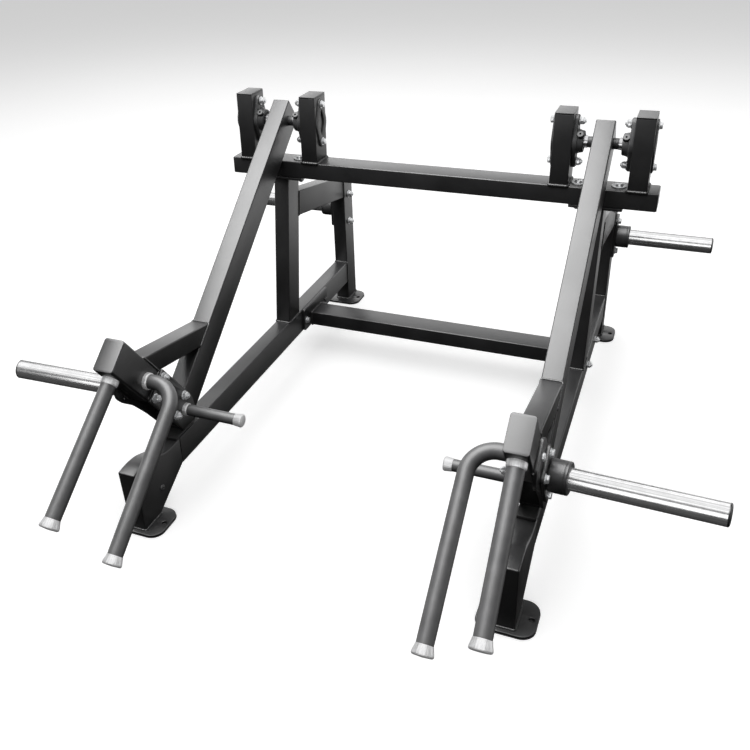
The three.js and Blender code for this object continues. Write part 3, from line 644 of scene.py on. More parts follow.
def straight_bar(profile, origin, u, v, along, cuts, rim, reach=1600.0):
    bm = bmesh.new()
    lines = [origin + u * a + v * b for a, b in profile]
    rings = [[bm.verts.new(p + along * t) for p in lines] for t in (-reach, reach)]
    stitch(bm, *rings)
    for ring in rings:
        bm.faces.new(ring)
    for point, normal in cuts:
        everything = bm.verts[:] + bm.edges[:] + bm.faces[:]
        cut = bmesh.ops.bisect_plane(
            bm, geom=everything, plane_co=point, plane_no=normal, clear_outer=True, dist=1e-4
        )
        edges = [e for e in cut["geom_cut"] if isinstance(e, bmesh.types.BMEdge)]
        bmesh.ops.contextual_create(bm, geom=edges)
    outward(bm)
    rims = [e for e in bm.edges if len(e.link_faces) == 2 and e.calc_face_angle(0) > RIM_ANGLE]
    bmesh.ops.bevel(bm, geom=rims, offset=rim, segments=2, profile=0.5, affect="EDGES")
    loops = [
        [p + along * ((point - p).dot(normal) / along.dot(normal)) for p in lines]
        for point, normal in cuts
    ]
    return bm, loops


def resample(loop, spacing, closed):
    points = loop + [loop[0]] if closed else loop
    out = []
    carry = 0.0
    for start, end in zip(points, points[1:]):
        length = (end - start).length
        t = carry
        while t < length:
            out.append(start.lerp(end, t / length))
            t += spacing
        carry = t - length
    if not closed:
        out.append(points[-1])
    return out


def swept(path, radii, segments, guess=None, closed=False):
    """Round cord along a path, with one radius per point and closed ends."""
    bm = bmesh.new()
    rings = []
    normal = None
    last = len(path) - 1
    for i, (point, radius) in enumerate(zip(path, radii)):
        if closed:
            tangent = (path[(i + 1) % len(path)] - path[i - 1]).normalized()
        else:
            tangent = (path[min(i + 1, last)] - path[max(i - 1, 0)]).normalized()
        if normal is None:
            upright = Z_AXIS if abs(tangent.z) < 0.8 else X_AXIS
            normal = tangent.cross(guess or upright).normalized()
        normal = (normal - tangent * normal.dot(tangent)).normalized()
        side = tangent.cross(normal)
        points = circle(radius, steps=segments)
        rings.append([bm.verts.new(point + normal * a + side * b) for a, b in points])
    if closed:
        first = rings[0]
        near = min(range(segments), key=lambda k: (first[k].co - rings[-1][0].co).length)
        rings.append(first[near:] + first[:near])
    return skin(bm, rings, ends=not closed)


def weld(loop, radius=4.2, closed=True, seed=1):
    """Weld bead along a line: a rounded cord with the ripples of the weld pool."""
    rng = random.Random(seed)
    points = resample(loop, WELD_STEP, closed)
    phase = rng.uniform(0, 6.28)
    turn = WELD_STEP * 2 * pi / WELD_RIPPLE
    radii = []
    for i in range(len(points)):
        ripple = 1 + WELD_SWELL * sin(i * turn + phase) + rng.uniform(-0.04, 0.04)
        radii.append(radius * ripple)
    if not closed:
        radii[0] *= 0.6
        radii[-1] *= 0.6
    return swept(points, radii, 10, closed=closed)


def hexagon(flats, height):
    """Hexagon nut or head on z = 0, its corners chamfered top and bottom."""
    outer = flats / 2 / cos(pi / 6)
    bm = bmesh.new()
    rings = []
    for scale, z in ((0.93, 0.0), (1.0, height * 0.12), (1.0, height * 0.84), (0.88, height)):
        rings.append([bm.verts.new((x, y, z)) for x, y in circle(outer * scale, steps=6)])
    skin(bm, rings)
    edges = [e for e in bm.edges if e.calc_face_angle(0) > 0.5]
    bmesh.ops.bevel(bm, geom=edges, offset=0.35, segments=2, profile=0.5, affect="EDGES")
    return bm


def washer(radius, hole, thickness=2.0):
    return lathe(ring_profile(hole, radius, 0.0, thickness, 0.6), 40)


def hex_head(at, axis, size=BOLT, spin=0.0):
    """Washer and hexagon head against a face."""
    return joined([
        moved(washer(size * 1.5, size * 0.5), at, axis),
        moved(hexagon(size * 2.25, size * 0.95), at + axis * 2.0, axis, spin),
    ])


def lock_nut(at, axis, size=8.6, spin=0.0, tail=3.2):
    """Washer, nut with its rounded locking collar, and the end of the bolt."""
    half = size * 0.5
    wide = size * 0.98
    collar = [(0, 0), (wide, 0), (wide, half, 1.4), (size * 0.6, half), (0, half)]
    stem = [(0, 0), (size * 0.52, 0), (size * 0.52, tail, 0.8), (0, tail)]
    top = 2.0 + size * 1.05
    return joined([
        moved(washer(size * 1.5, half), at, axis),
        moved(hexagon(size * 2.25, size * 1.05), at + axis * 2.0, axis, spin),
        moved(lathe(collar, 32), at + axis * (top - 0.8), axis),
        moved(lathe(stem, 24), at + axis * (top + half - 1.0), axis),
    ])


def button_head(at, axis, radius, height, washer_radius=0.0):
    """Domed head with a hexagon socket."""
    profile = [(0.0, 0.0), (radius, 0.0), (radius, height * 0.2)]
    for i in range(1, 7):
        a = pi / 2 * i / 7
        reach = radius * (0.42 + 0.58 * cos(a))
        profile.append((reach, height * (0.2 + 0.8 * sin(a))))
    profile += [(radius * 0.4, height), (radius * 0.36, height * 0.45), (0.0, height * 0.4)]
    lift = 2.5 if washer_radius else 0.0
    parts = [moved(lathe(profile, 36), at + axis * lift, axis)]
    if washer_radius:
        parts.append(moved(washer(washer_radius, radius * 0.5, lift), at, axis))
    return joined(parts)


def mirror_point(point, side):
    """A point given on the right side frame's middle plane, on its own side."""
    return Vector((side * (ARM_X + point.x), point.y, point.z))


def mirrored(bm, side):
    """A mesh built for the right side, moved to its own side of the machine."""
    bm.transform(Matrix.Translation((side * ARM_X, 0, 0)) @ Matrix.Scale(side, 4, X_AXIS))
    if side < 0:
        bmesh.ops.reverse_faces(bm, faces=bm.faces)
    return bm


def trim_below(z):
    return Vector((0, 0, z)), -Z_AXIS


def trim_above(z):
    return Vector((0, 0, z)), Z_AXIS


def ups(distance):
    """The two lifts to a pair of bolts, one above the other."""
    return [Vector((0, 0, s * distance)) for s in (-1, 1)]


def lid(width, depth, thickness, corner, rim):
    return plate(rounded_rectangle(width, depth, corner), thickness, rim, steps=3)


POSTS = [
    (f"{label}_{where}", side * ARM_X + outwards * POST_OFFSET, outwards)
    for label, side in SIDES
    for where, outwards in (("outer", side), ("inner", -side))
]

# -------- frame


def build_beam(bolts):
    height = BEAM_TOP - BEAM_BOTTOM
    origin = Vector((0, DEPTH / 2, (BEAM_BOTTOM + BEAM_TOP) / 2))
    ends = [(X_AXIS * (s * BEAM_HALF), X_AXIS * s) for s in (-1, 1)]
    profile = rounded_rectangle(DEPTH, height, CORNER)
    beam, _ = straight_bar(profile, origin, Y_AXIS, Z_AXIS, X_AXIS, ends, 0.8)
    add_piece("beam_tube", beam, POWDER, "frame", "top_beam")
    caps = [
        place_on(lid(DEPTH - 1, height - 1, 3.2, CORNER, 1.4), (s * BEAM_HALF, *origin.yz), s)
        for s in (-1, 1)
    ]
    add_piece("beam_end_caps", joined(caps), PLASTIC, "frame")
    for _, side in SIDES:
        for offset in (-UPRIGHT_BOLT_X, UPRIGHT_BOLT_X):
            x = side * ARM_X + offset
            bolts.append(button_head(Vector((x, DEPTH / 2, BEAM_TOP)), Z_AXIS, 11.5, 7.0, 20.5))
            below = Vector((x, DEPTH / 2, UPRIGHT_PLATE_Z))
            bolts.append(lock_nut(below, -Z_AXIS, 8.5, 0.4))


def build_posts(welds):
    for name, x, outwards in POSTS:
        profile = rounded_rectangle(POST_WIDTH, DEPTH, POST_CORNER)
        cuts = [trim_below(BEAM_TOP), trim_above(POST_TOP - POST_CAP)]
        origin = Vector((x, DEPTH / 2, BEAM_TOP))
        post, loops = straight_bar(profile, origin, X_AXIS, Y_AXIS, Z_AXIS, cuts, 0.7)
        piece = add_piece(f"{name}_post_tube", post, POWDER, "frame", f"{name}_post")
        blind_bore(piece, x, outwards)
        cap = lid(POST_WIDTH - 0.4, DEPTH - 0.4, POST_CAP, POST_CORNER, 0.9)
        shifted(cap, x, DEPTH / 2, POST_TOP - POST_CAP)
        add_piece(f"{name}_post_cap", cap, POWDER, "frame")
        welds.append(weld(loops[0], 4.6, seed=11 + int(x)))


def blind_bore(piece, x, outwards):
    """Cuts the shaft opening into the post's face towards the arm, short of the far wall."""
    profile = [(0, -60), (BORE_RADIUS, -60), (BORE_RADIUS, BORE_REACH), (0, BORE_REACH)]
    drill = moved(lathe(profile, 48), Vector((x, *PIVOT)), X_AXIS * outwards)
    drill.transform(Matrix.Scale(MM, 4) @ Matrix.Translation((0, SHIFT, 0)))
    cutter = bpy.data.objects.new("cutter", bpy.data.meshes.new("cutter"))
    drill.to_mesh(cutter.data)
    drill.free()
    link(cutter)
    cut = piece.modifiers.new("bore", "BOOLEAN")
    cut.operation = "DIFFERENCE"
    cut.solver = "EXACT"
    cut.object = cutter
    bpy.context.view_layer.update()
    evaluated = piece.evaluated_get(bpy.context.evaluated_depsgraph_get())
    plain, piece.data = piece.data, bpy.data.meshes.new_from_object(evaluated)
    piece.modifiers.clear()
    piece.data.name = plain.name + "_bored"
    bpy.data.meshes.remove(plain)
    bpy.data.meshes.remove(cutter.data)
    shade(piece.data)


def bearing_outline():
    slope = asin((BEARING_MIDDLE - BEARING_END) / BEARING_BOLT)
    points = []
    for turn, z in ((0, BEARING_BOLT), (pi, -BEARING_BOLT)):
        points += arc(BEARING_MIDDLE, turn - slope, turn + slope, 8)
        points += arc(BEARING_END, turn + slope, turn + pi - slope, 8, (0, z))
    return points


def build_bearings(bolts):
    for name, post, outwards in POSTS:
        inward = X_AXIS * -outwards
        face = Vector((post - outwards * HALF, *PIVOT))
        housing = place_on(bearing_housing(), face, -outwards)
        add_piece(f"{name}_bearing", housing, CAST, "frame", f"{name}_bearing_housing", sharp=50)
        back = Vector((post + outwards * HALF, *PIVOT))
        opening = soft_outline([(-20, 0, 14), (0, -45, 12), (20, 0, 14), (0, 45, 12)], 8)
        ring = place_on(plate(bearing_outline(), BACKING, 1.2, [opening]), back, outwards)
        add_piece(f"{name}_backing", ring, CAST, "frame", f"{name}_back_plate")
        race = lathe(ring_profile(16.6, 20.4, 0.0, 12.0, 1.0), 48)
        place_on(race, face - inward * 16.0, -outwards)
        add_piece(f"{name}_bearing_race", race, GROUND, "frame")
        for end, lift in zip((-1, 1), ups(BEARING_BOLT)):
            pad = face + inward * (BEARING_FOOT + 1) + lift
            bolts.append(lock_nut(pad, inward, spin=0.3 * end))
            bolts.append(hex_head(back - inward * BACKING + lift, -inward, spin=0.2))


def bearing_housing():
    """Two-bolt flange housing: oval foot, filleted boss, bolt pads and grease lug."""
    holes = hole_pair(8.0, (0, BEARING_BOLT), (0, 0), 24)
    foot = plate(bearing_outline(), BEARING_FOOT, 2.6, holes, 3)
    boss = lathe([
        (16.4, 2.0), (36.2, 2.0), (36.2, 12.0), (33.0, 14.5, 2.5), (30.8, 22.0, 3),
        (29.6, 28.5, 1.0), (27.6, 30.0, 0.8), (21.4, 30.0, 0.6), (20.6, 27.0, 0.4), (16.4, 27.0),
    ], 60)
    lug_axis = Vector((-1, 1, 0)).normalized()
    lug = lathe([
        (0, 0), (10.4, 0), (9.4, 14.0, 1.6), (2.7, 14.0, 0.5), (2.4, 7.0), (0, 7.0),
    ], 32)
    moved(lug, lug_axis * 26.0 + Z_AXIS * 20.5, lug_axis)
    pad = [(8.1, 11.0), (14.2, 11.0), (13.4, 13.0, 0.5), (8.1, 13.0)]
    pads = [shifted(lathe(pad, 32), 0, s * BEARING_BOLT, 0) for s in (-1, 1)]
    return joined([foot, boss, lug, *pads])


def build_side(label, side, welds, bolts):
    add = adder(label, "frame")
    x = side * ARM_X
    leg_tilt = Vector((0, cos(REAR_LEAN), sin(REAR_LEAN)))
    leg_face = (Vector((x, REAR_LEG_FRONT, 0)), leg_tilt)
    upright_tilt = Vector((0, cos(UPRIGHT_LEAN), -sin(UPRIGHT_LEAN)))
    back_y = UPRIGHT_Y + DEPTH / 2 / cos(UPRIGHT_LEAN)
    leg_middle = REAR_LEG_FRONT + DEPTH / 2 / cos(REAR_LEAN)
    leg_cuts = [trim_below(FOOT_PLATE), trim_above(REAR_LEG_TOP - REAR_LEG_CAP)]
    upright_cuts = [trim_below(RAIL_TOP), trim_above(UPRIGHT_PLATE_Z)]
    front_cut = (Vector((x, FRONT_LEG_BACK, 0)), -Y_AXIS)
    rise = pi / 2 - UPRIGHT_LEAN
    bar_cuts = [(Vector((x, back_y, RAIL_TOP)), -upright_tilt), leg_face]
    tubes = (  # CAD node, piece, start (y, z), angle, cuts, rim, a weld (radius, seed) per cut
        ("side_rail", "rail", (0, RAIL_MIDDLE), 0, [front_cut, leg_face], 0.5, (None, (3.2, 4))),
        ("upright", "upright", (UPRIGHT_Y, RAIL_TOP), rise, upright_cuts, 0.5, ((3.6, 5), (3.4, 6))),
        ("rear_leg", "rear_leg", (leg_middle, 0), pi / 2 + REAR_LEAN, leg_cuts, 0.8, ((4.0, 7), None)),
        ("top_bar", "top_bar", TOP_BAR, TOP_BAR_ANGLE, bar_cuts, 0.5, ((3.2, 8), (3.2, 9))),
    )
    for node, name, start, angle, cuts, rim, beads in tubes:
        tube, loops = bar(WIDTH, DEPTH, Vector((x, *start)), angle, cuts, rim=rim)
        add(f"{name}_tube", tube, POWDER, f"{node}")
        welds += [weld(loop, bead[0], seed=bead[1]) for loop, bead in zip(loops, beads) if bead]

    top_y = UPRIGHT_Y + (UPRIGHT_PLATE_Z - RAIL_TOP) * tan(UPRIGHT_LEAN) - 3
    holes = hole_pair(BOLT_HOLE, (UPRIGHT_BOLT_X, 0), (0, DEPTH / 2 - top_y), 20)
    flange = plate(rounded_rectangle(148, DEPTH + 14, 6, 4), 7.7, 0.9, holes)
    shifted(flange, x, top_y, UPRIGHT_PLATE_Z)
    add("upright_plate", flange, POWDER)
    cap = lid(WIDTH - 0.6, DEPTH - 0.6, REAR_LEG_CAP, CORNER, 1.2)
    cap_y = leg_middle - REAR_LEG_TOP * tan(REAR_LEAN)
    shifted(cap, x, cap_y, REAR_LEG_TOP - REAR_LEG_CAP)
    add("rear_leg_cap", cap, POWDER)

    build_front_leg(add, side, welds)
    for where, y in FOOT_Y.items():
        holes = hole_pair(7.0, (ANCHOR_OFFSET, 0), (0, 0), 26)
        foot = plate(rounded_rectangle(*FOOT_SIZE, 34, 12), FOOT_PLATE - FOOT_PAD, 1.4, holes, 3)
        name = f"{where}_foot"
        add(f"{name}_plate", shifted(foot, x, y, FOOT_PAD), POWDER, name)
        grown = [size + 2 for size in FOOT_SIZE]
        pad = plate(rounded_rectangle(*grown, 35, 12), FOOT_PAD - 0.1, 0.5, steps=3)
        add(f"{name}_pad", shifted(pad, x, y, 0), PAD_RUBBER)
    build_storage(add, side, bolts)
    stop = plate(rounded_rectangle(48, 97, 4, 5), 9.6, 2.2, steps=3)
    shifted(stop, x, STOP_MIDDLE, RAIL_TOP)
    add("rubber_stop", stop, PAD_RUBBER, "stop_pad")


def build_front_leg(add, side, welds):
    x = side * ARM_X
    leg = side_plate(soft_outline(FRONT_LEG), WIDTH, x - HALF, 1, 4.5, steps=4)
    add("front_leg_box", leg, POWDER, "front_leg", sharp=28)
    y, length = FRONT_LEG_FOOT
    base = [Vector((x + u, y + v, FOOT_PLATE)) for u, v in rounded_rectangle(WIDTH, length, 3)]
    welds.append(weld(base, 4.0, seed=10))
    spot = Vector((x - side * HALF, *LEG_STUD))
    add("leg_stud", button_head(spot, X_AXIS * -side, 9.0, 4.5), CAST)


def build_cross(welds, bolts):
    profile = rounded_rectangle(DEPTH, WIDTH, CORNER)
    reach = ARM_X - HALF - FLANGE
    ends = [(X_AXIS * (s * reach), X_AXIS * s) for s in (-1, 1)]
    tube, loops = straight_bar(profile, Vector((0, *CROSS)), Y_AXIS, Z_AXIS, X_AXIS, ends, 0.5)
    parts = [tube]
    studs = []
    for side in (-1, 1):
        spots = [(y - CROSS[0], z - CROSS_FLANGE_Z) for y, z in CROSS_BOLTS]
        holes = [circle(BOLT_HOLE, spot, 20) for spot in spots]
        flange = plate(rounded_rectangle(207, 82, 8, 5), FLANGE, 1.0, holes)
        parts.append(place_on(flange, (side * reach, CROSS[0], CROSS_FLANGE_Z), side))
        for spot in CROSS_BOLTS:
            inside = Vector((side * reach, *spot))
            if spot[0] < CROSS[0]:
                bolts.append(hex_head(inside, X_AXIS * -side, spin=0.2))
            else:
                studs.append(button_head(inside, X_AXIS * -side, 9.0, 5.0))
            outside = Vector((side * (ARM_X + HALF), *spot))
            bolts.append(lock_nut(outside, X_AXIS * side, BOLT, 0.5))
    add_piece("cross_tube_and_flanges", joined(parts), POWDER, "frame", "cross_tube")
    add_piece("cross_rear_bolts", joined(studs), CAST, "frame")
    welds += [weld(loop, 3.4, seed=20 + i) for i, loop in enumerate(loops)]


def horn(add, name, outwards, root, start, length, collar):
    """Chrome tube with a domed plug at its end and a rubber collar at its root."""
    radius = HORN_RADIUS
    tube = [
        (0, start), (radius, start), (radius, length - 1, 0.8), (radius - 2, length, 0.5),
        (0, length),
    ]
    add(f"{name}_horn_tube", lathe(tube, 72), CHROME, f"{name}_horn", outwards, root)
    lip = radius + 0.2
    plug = [(0.0, length - 1.0), (radius - 0.3, length - 1.0), (lip, length + 0.6)]
    for i in range(1, 9):
        a = pi / 2 * i / 8
        plug.append((lip * cos(a) ** 0.5 if i < 8 else 0.0, length + 0.6 + 4.4 * sin(a)))
    add(f"{name}_horn_plug", lathe(plug, 64), PLASTIC, None, outwards, root)
    low, high, wide = collar
    ring = [
        (25.8, low), (wide, low, 4.0), (wide, high - 9, 0.6), (wide - 0.9, high - 8.2, 0.3),
        (wide - 0.9, high - 7.2, 0.3), (wide, high - 6.4, 0.6), (wide, high, 3.4), (25.8, high),
    ]
    rubber_ring = lathe(ring, 64)
    add(f"{name}_horn_collar", rubber_ring, BLOCK_RUBBER, f"{name}_collar", outwards, root)


def build_storage(add, side, bolts):
    outwards = X_AXIS * side
    face = Vector((side * (ARM_X + HALF + 0.3), STORAGE_Y, STORAGE_Z))
    holes = hole_pair(BOLT_HOLE, (0, STORAGE_BOLT), (0, 0), 20)
    flange = place_on(plate(rounded_rectangle(72, 140, 12, 6), FLANGE, 1.0, holes), face, side)
    add("storage_flange", flange, POWDER)
    horn(add, "storage", outwards, face, 7.0, STORAGE_LENGTH, STORAGE_COLLAR)
    for lift in ups(STORAGE_BOLT):
        bolts.append(hex_head(face + outwards * FLANGE + lift, outwards, spin=0.3))
        inner = Vector((side * (ARM_X - HALF), STORAGE_Y, STORAGE_Z)) + lift
        bolts.append(lock_nut(inner, -outwards, 9.4, 0.1, 4.0))


# -------- lever arms


def build_arm(label, side):
    add = adder(label, f"{label}_arm")
    welds = []
    bolts = []
    arm_steel(add, side, welds)
    knee_plates(add, side, bolts, welds)
    load_horn(add, side)
    handles(add, side)
    pivot(add, side)
    add("arm_welds", joined(welds), POWDER, sharp=60)
    add("arm_bolts", joined(bolts), ZINC)


def arm_steel(add, side, welds):
    x = side * ARM_X
    along = Vector((0, cos(ARM_ANGLE), sin(ARM_ANGLE)))
    middle = Vector((x, *PIVOT))
    arm, _ = bar(ARM_WIDTH, ARM_DEPTH, middle, ARM_ANGLE, [
        (middle + along * ARM_TAIL, along), (Vector((x, ARM_FRONT, 0)), -Y_AXIS), trim_below(ARM_SOLE),
    ], rim=1.4)
    sole = shifted(plate(rounded_rectangle(WIDTH, 60, 3, 4), 6.0), x, ARM_FRONT + 30, ARM_SOLE - 6)
    add("arm_beam", joined([arm, sole]), POWDER, "arm_tube")

    arm_up = Vector((0, -along.z, along.y))
    arm_face = (middle + arm_up * (ARM_DEPTH / 2), -arm_up)
    head_back = (head(0, HEAD_DEPTH / 2, x), -HEAD_UP)
    lift = Vector((0, -sin(BRACE_ANGLE), cos(BRACE_ANGLE)))
    start = Vector((x, *BRACE_TOP)) - lift * (BRACE_DEPTH / 2 - 4)
    brace, loops = bar(ARM_WIDTH, BRACE_DEPTH, start, BRACE_ANGLE, [arm_face, head_back], rim=0.5)
    add("brace_tube", brace, POWDER, "arm_brace")
    welds += [weld(loop, 2.8, seed=31 + i) for i, loop in enumerate(loops)]

    box, _ = bar(HEAD_WIDTH, HEAD_DEPTH, head(0, 0, x), -HEAD_ANGLE, [
        (head(HEAD_LID, 0, x), -HEAD_DOWN), (head(HEAD_LENGTH, 0, x), HEAD_DOWN),
    ], corner=HEAD_CORNER, rim=1.0)
    add("head_tube", box, POWDER, "head_box")
    cover = lid(HEAD_WIDTH - 0.5, HEAD_DEPTH - 0.5, HEAD_LID, HEAD_CORNER, 1.2)
    at = head(HEAD_LID, 0)
    cover.transform(Matrix((
        (1, 0, 0, x), (0, HEAD_UP.y, -HEAD_DOWN.y, at.y),
        (0, HEAD_UP.z, -HEAD_DOWN.z, at.z), (0, 0, 0, 1),
    )))
    add("head_lid", cover, POWDER)


def knee_outline(points):
    """Knee plate outline in (y, z), cut level at its foot."""
    loop = [head(a, b).yz for a, b in soft_outline(points)]
    out = []
    for i, here in enumerate(loop):
        after = loop[(i + 1) % len(loop)]
        if here.y >= KNEE_BOTTOM:
            out.append(tuple(here))
        if (here.y - KNEE_BOTTOM) * (after.y - KNEE_BOTTOM) < 0:
            t = (KNEE_BOTTOM - here.y) / (after.y - here.y)
            out.append(tuple(here.lerp(after, t)))
    return out


def head_circle(radius, along, across):
    return circle(radius, head(along, across).yz, 20)


def knee_holes():
    return [head_circle(BOLT_HOLE, a, b) for a, b in KNEE_BOLTS]


def knee_plates(add, side, bolts, welds):
    for where, outline, facing, more in (
        ("outer", OUTER_KNEE, 1, [head_circle(4.0, 171, -50)]), ("inner", INNER_KNEE, -1, []),
    ):
        knee = side_plate(
            knee_outline(outline), KNEE_PLATE, facing * KNEE_FACE, facing, 1.0, knee_holes() + more
        )
        name = f"{where}_knee"
        add(name, mirrored(knee, side), POWDER, f"{name}_plate")
    for i, (along, across) in enumerate(KNEE_BOLTS):
        outside = mirror_point(head(along, across, LOAD_FACE), side)
        bolts.append(hex_head(outside, X_AXIS * side, spin=0.3 * i))
        inside = mirror_point(head(along, across, -KNEE_OUT), side)
        bolts.append(lock_nut(inside, X_AXIS * -side, spin=0.2 * i, tail=4.0))
    spot = mirror_point(head(150, 6, KNEE_OUT), side)
    bolts.append(button_head(spot, X_AXIS * side, 10.0, 6.0))
    half = HEAD_WIDTH / 2
    seam = [mirror_point(head(HEAD_LENGTH, b, -half), side) for b in (-40, 40)]
    edge = [mirror_point(head(a, -43.5, half), side) for a in (114, 186)]
    welds += [weld(seam, 4.2, False, 33), weld(edge, 3.6, False, 34)]


def load_horn(add, side):
    outline = [tuple(head(a, b).yz) for a, b in soft_outline(LOAD_FLANGE)]
    flange = side_plate(outline, FLANGE, LOAD_FACE - FLANGE, 1, 1.0, knee_holes())
    add("load_flange", mirrored(flange, side), POWDER)
    root = mirror_point(head(*LOAD_MIDDLE, LOAD_FACE), side)
    outwards = Vector((side * LOAD_AXIS.x, LOAD_AXIS.y, LOAD_AXIS.z))
    horn(add, "load", outwards, root, -3.0, LOAD_LENGTH, LOAD_COLLAR)


def ferrule(radius, length):
    """Metal ring at the root of a grip."""
    return lathe([
        (0, -1.0), (radius * 1.13, -1.0), (radius * 1.13, length * 0.8, 2.0),
        (radius * 1.04, length, 1.0), (0, length),
    ])


def grip_cap(radius, length, flare):
    """Metal end cap: a fluted skirt that flares from the grip and a low domed end."""
    wide = radius * flare
    cap = lathe([
        (0, -length), (radius * 1.04, -length, 0.6), (radius * 1.06, -length * 0.86, 1.2),
        (wide * 0.99, -length * 0.34, 3.5), (wide, -length * 0.2, 1.5),
        (wide * 0.9, -length * 0.06, 2.2), (0, 0),
    ], 96, 5)
    for vert in cap.verts:
        x, y, z = vert.co
        rise = max(0.0, (z + length * 0.95) / (length * 0.3))
        fall = max(0.0, -z / (length * 0.2))
        if hypot(x, y) > radius * 0.8:
            ridge = 0.5 + 0.5 * cos(24 * atan2(y, x))
            flute = 1 - 0.022 * min(1.0, rise, fall) * ridge
            vert.co = (x * flute, y * flute, z)
    return cap


def grip_sleeve(start, end, radius):
    """Rubber sleeve: a slight crown, rolled rims and a faint swell at each end."""
    return lathe([
        (0, start), (radius * 0.985, start, 1.2), (radius, start + 6, 3.0),
        (radius * 0.99, (start + end) / 2), (radius, end - 6, 3.0), (radius * 0.985, end, 1.2),
        (0, end),
    ], 64)


def grip(add, name, sleeve_name, node, root, axis, reach, radius, ring, overlap, cap, flare):
    """Straight rubber grip along an axis, with a metal ring at its root and a metal cap."""
    add(f"{name}_ferrule", ferrule(radius, ring), CAP_METAL, None, axis, root)
    sleeve = grip_sleeve(ring - overlap, reach - cap + CAP_OVERLAP, radius)
    add(sleeve_name, sleeve, GRIP_RUBBER, node, axis, root)
    tip = root + axis * reach
    add(f"{name}_cap", grip_cap(radius, cap, flare), CAP_METAL, None, axis, tip)


def handles(add, side):
    down = -HEAD_UP
    splayed = (down + X_AXIS * (side * STRAIGHT_SPLAY)).normalized()
    root = mirror_point(head(STRAIGHT_ALONG, -HEAD_DEPTH / 2), side)
    reach = STRAIGHT_END - HEAD_DEPTH / 2
    names = ("straight", "straight_grip", "straight_handle")
    grip(add, *names, root, splayed, reach, GRIP, 16.0, 2.0, CAP_LENGTH, CAP_FLARE)
    bent_handle(add, side, down)
    root = mirror_point(Vector((-KNEE_OUT, *SHORT_GRIP)), side)
    reach = SHORT_END - KNEE_OUT
    names = ("short", "short_sleeve", "short_grip")
    grip(add, *names, root, X_AXIS * -side, reach, SHORT_RADIUS, 12.0, 1.0, SHORT_CAP, SHORT_FLARE)


def bent_handle(add, side, down):
    """Handle that leaves the head box sideways and bends forward and down."""
    inward = X_AXIS * -side
    root = mirror_point(head(BENT_ALONG, 0, -HEAD_WIDTH / 2), side)
    add("bent_ferrule", ferrule(GRIP * 1.03, 11.0), CAP_METAL, None, inward, root)
    straight = BENT_INSET - BENT_RADIUS - HEAD_WIDTH / 2
    path = [root + inward * t for t in (9.0, straight * 0.6, straight)]
    centre = root + inward * straight + down * BENT_RADIUS
    for across, back in arc(BENT_RADIUS, pi / 2, 0, 24)[1:]:
        path.append(centre + inward * across - down * back)
    last = path[-1]
    run = BENT_END - BENT_RADIUS
    for t in (0.04, 0.2, 0.5, 0.8, 0.96, 1.0):
        path.append(last + down * (run - CAP_LENGTH + CAP_OVERLAP) * t)
    radii = [GRIP * 0.985] + [GRIP] * (len(path) - 2) + [GRIP * 0.985]
    sleeve = swept(path, radii, 48, Y_AXIS)
    add("bent_grip", sleeve, GRIP_RUBBER, "bent_handle")
    cap = grip_cap(GRIP, CAP_LENGTH, CAP_FLARE)
    add("bent_cap", cap, CAP_METAL, None, down, last + down * run)


def pivot(add, side):
    """Shaft, spacers and the bearing inserts that turn with the arm."""
    at = (side * ARM_X, *PIVOT)
    half = POST_OFFSET + HALF - 6
    ends = [(0, -half), (SHAFT_RADIUS, -half, 1.2), (SHAFT_RADIUS, half, 1.2), (0, half)]
    shaft = lathe(ends, 48)
    add("shaft", shaft, GROUND, "pivot_shaft", X_AXIS, at)
    spacers = []
    for s in (-1, 1):
        low, high = sorted((s * (HALF + 0.3), s * 40.5))
        profile = ring_profile(SHAFT_RADIUS + 0.05, SPACER_RADIUS, low, high, 1.0)
        spacers.append(lathe(profile, 48))
    add("shaft_spacers", joined(spacers), CAST, None, X_AXIS, at)
    socket = [(0, 0), (2.6, 0), (2.6, 1.1, 0.3), (1.3, 1.1), (1.3, 0.4), (0, 0.4)]
    for where, s in (("outer", side), ("inner", -side)):
        low, high = sorted(s * x for x in INSERT_SPAN)
        parts = [lathe(ring_profile(SHAFT_RADIUS + 0.15, INSERT_RADIUS, low, high, 1.0), 48)]
        for angle in (0.9, 3.0):
            axis = Vector((cos(angle), sin(angle), 0))
            spot = axis * (INSERT_RADIUS - 0.6) + Z_AXIS * (s * 46.0)
            parts.append(moved(lathe(socket, 16), spot, axis))
        add(f"{where}_insert", joined(parts), GROUND, f"{where}_bearing_insert", X_AXIS, at)


# -------- assembly

frame_welds = []
frame_bolts = []
build_beam(frame_bolts)
build_posts(frame_welds)
build_bearings(frame_bolts)
build_cross(frame_welds, frame_bolts)
for label, side in SIDES:
    build_side(label, side, frame_welds, frame_bolts)
    build_arm(label, side)
add_piece("frame_welds", joined(frame_welds), POWDER, "frame", sharp=60)
add_piece("frame_bolts", joined(frame_bolts), ZINC, "frame")

# -------- studio

DOME = 0.17  # brightness of the world above the horizon
DIM_FRONT = 0.012  # and of the ground in front of the machine
FLOOR_DROP = 0.0005  # metres, so that the foot pads don't share the floor's plane

SENSOR = 36.0
LENS = 41.73
LENS_SHIFT = (0.0606, -0.0463)
CAMERA_AT = (717.0, -2409.6, 1533.4)
CAMERA_RIGHT = Vector((0.92330, 0.38226, -0.03743)).normalized()
CAMERA_UP = Vector((-0.1532, 0.4559, 0.8767)).normalized()


def build_floor():
    bm = bmesh.new()
    bmesh.ops.create_grid(bm, x_segments=2, y_segments=2, size=40.0)
    mesh = bpy.data.meshes.new("studio_floor")
    bm.to_mesh(mesh)
    bm.free()
    mesh.materials.append(FLOOR)
    floor = bpy.data.objects.new("studio_floor", mesh)
    floor.location = (0, 0, -FLOOR_DROP)
    floor.visible_glossy = False
    floor.visible_diffuse = False
    link(floor)


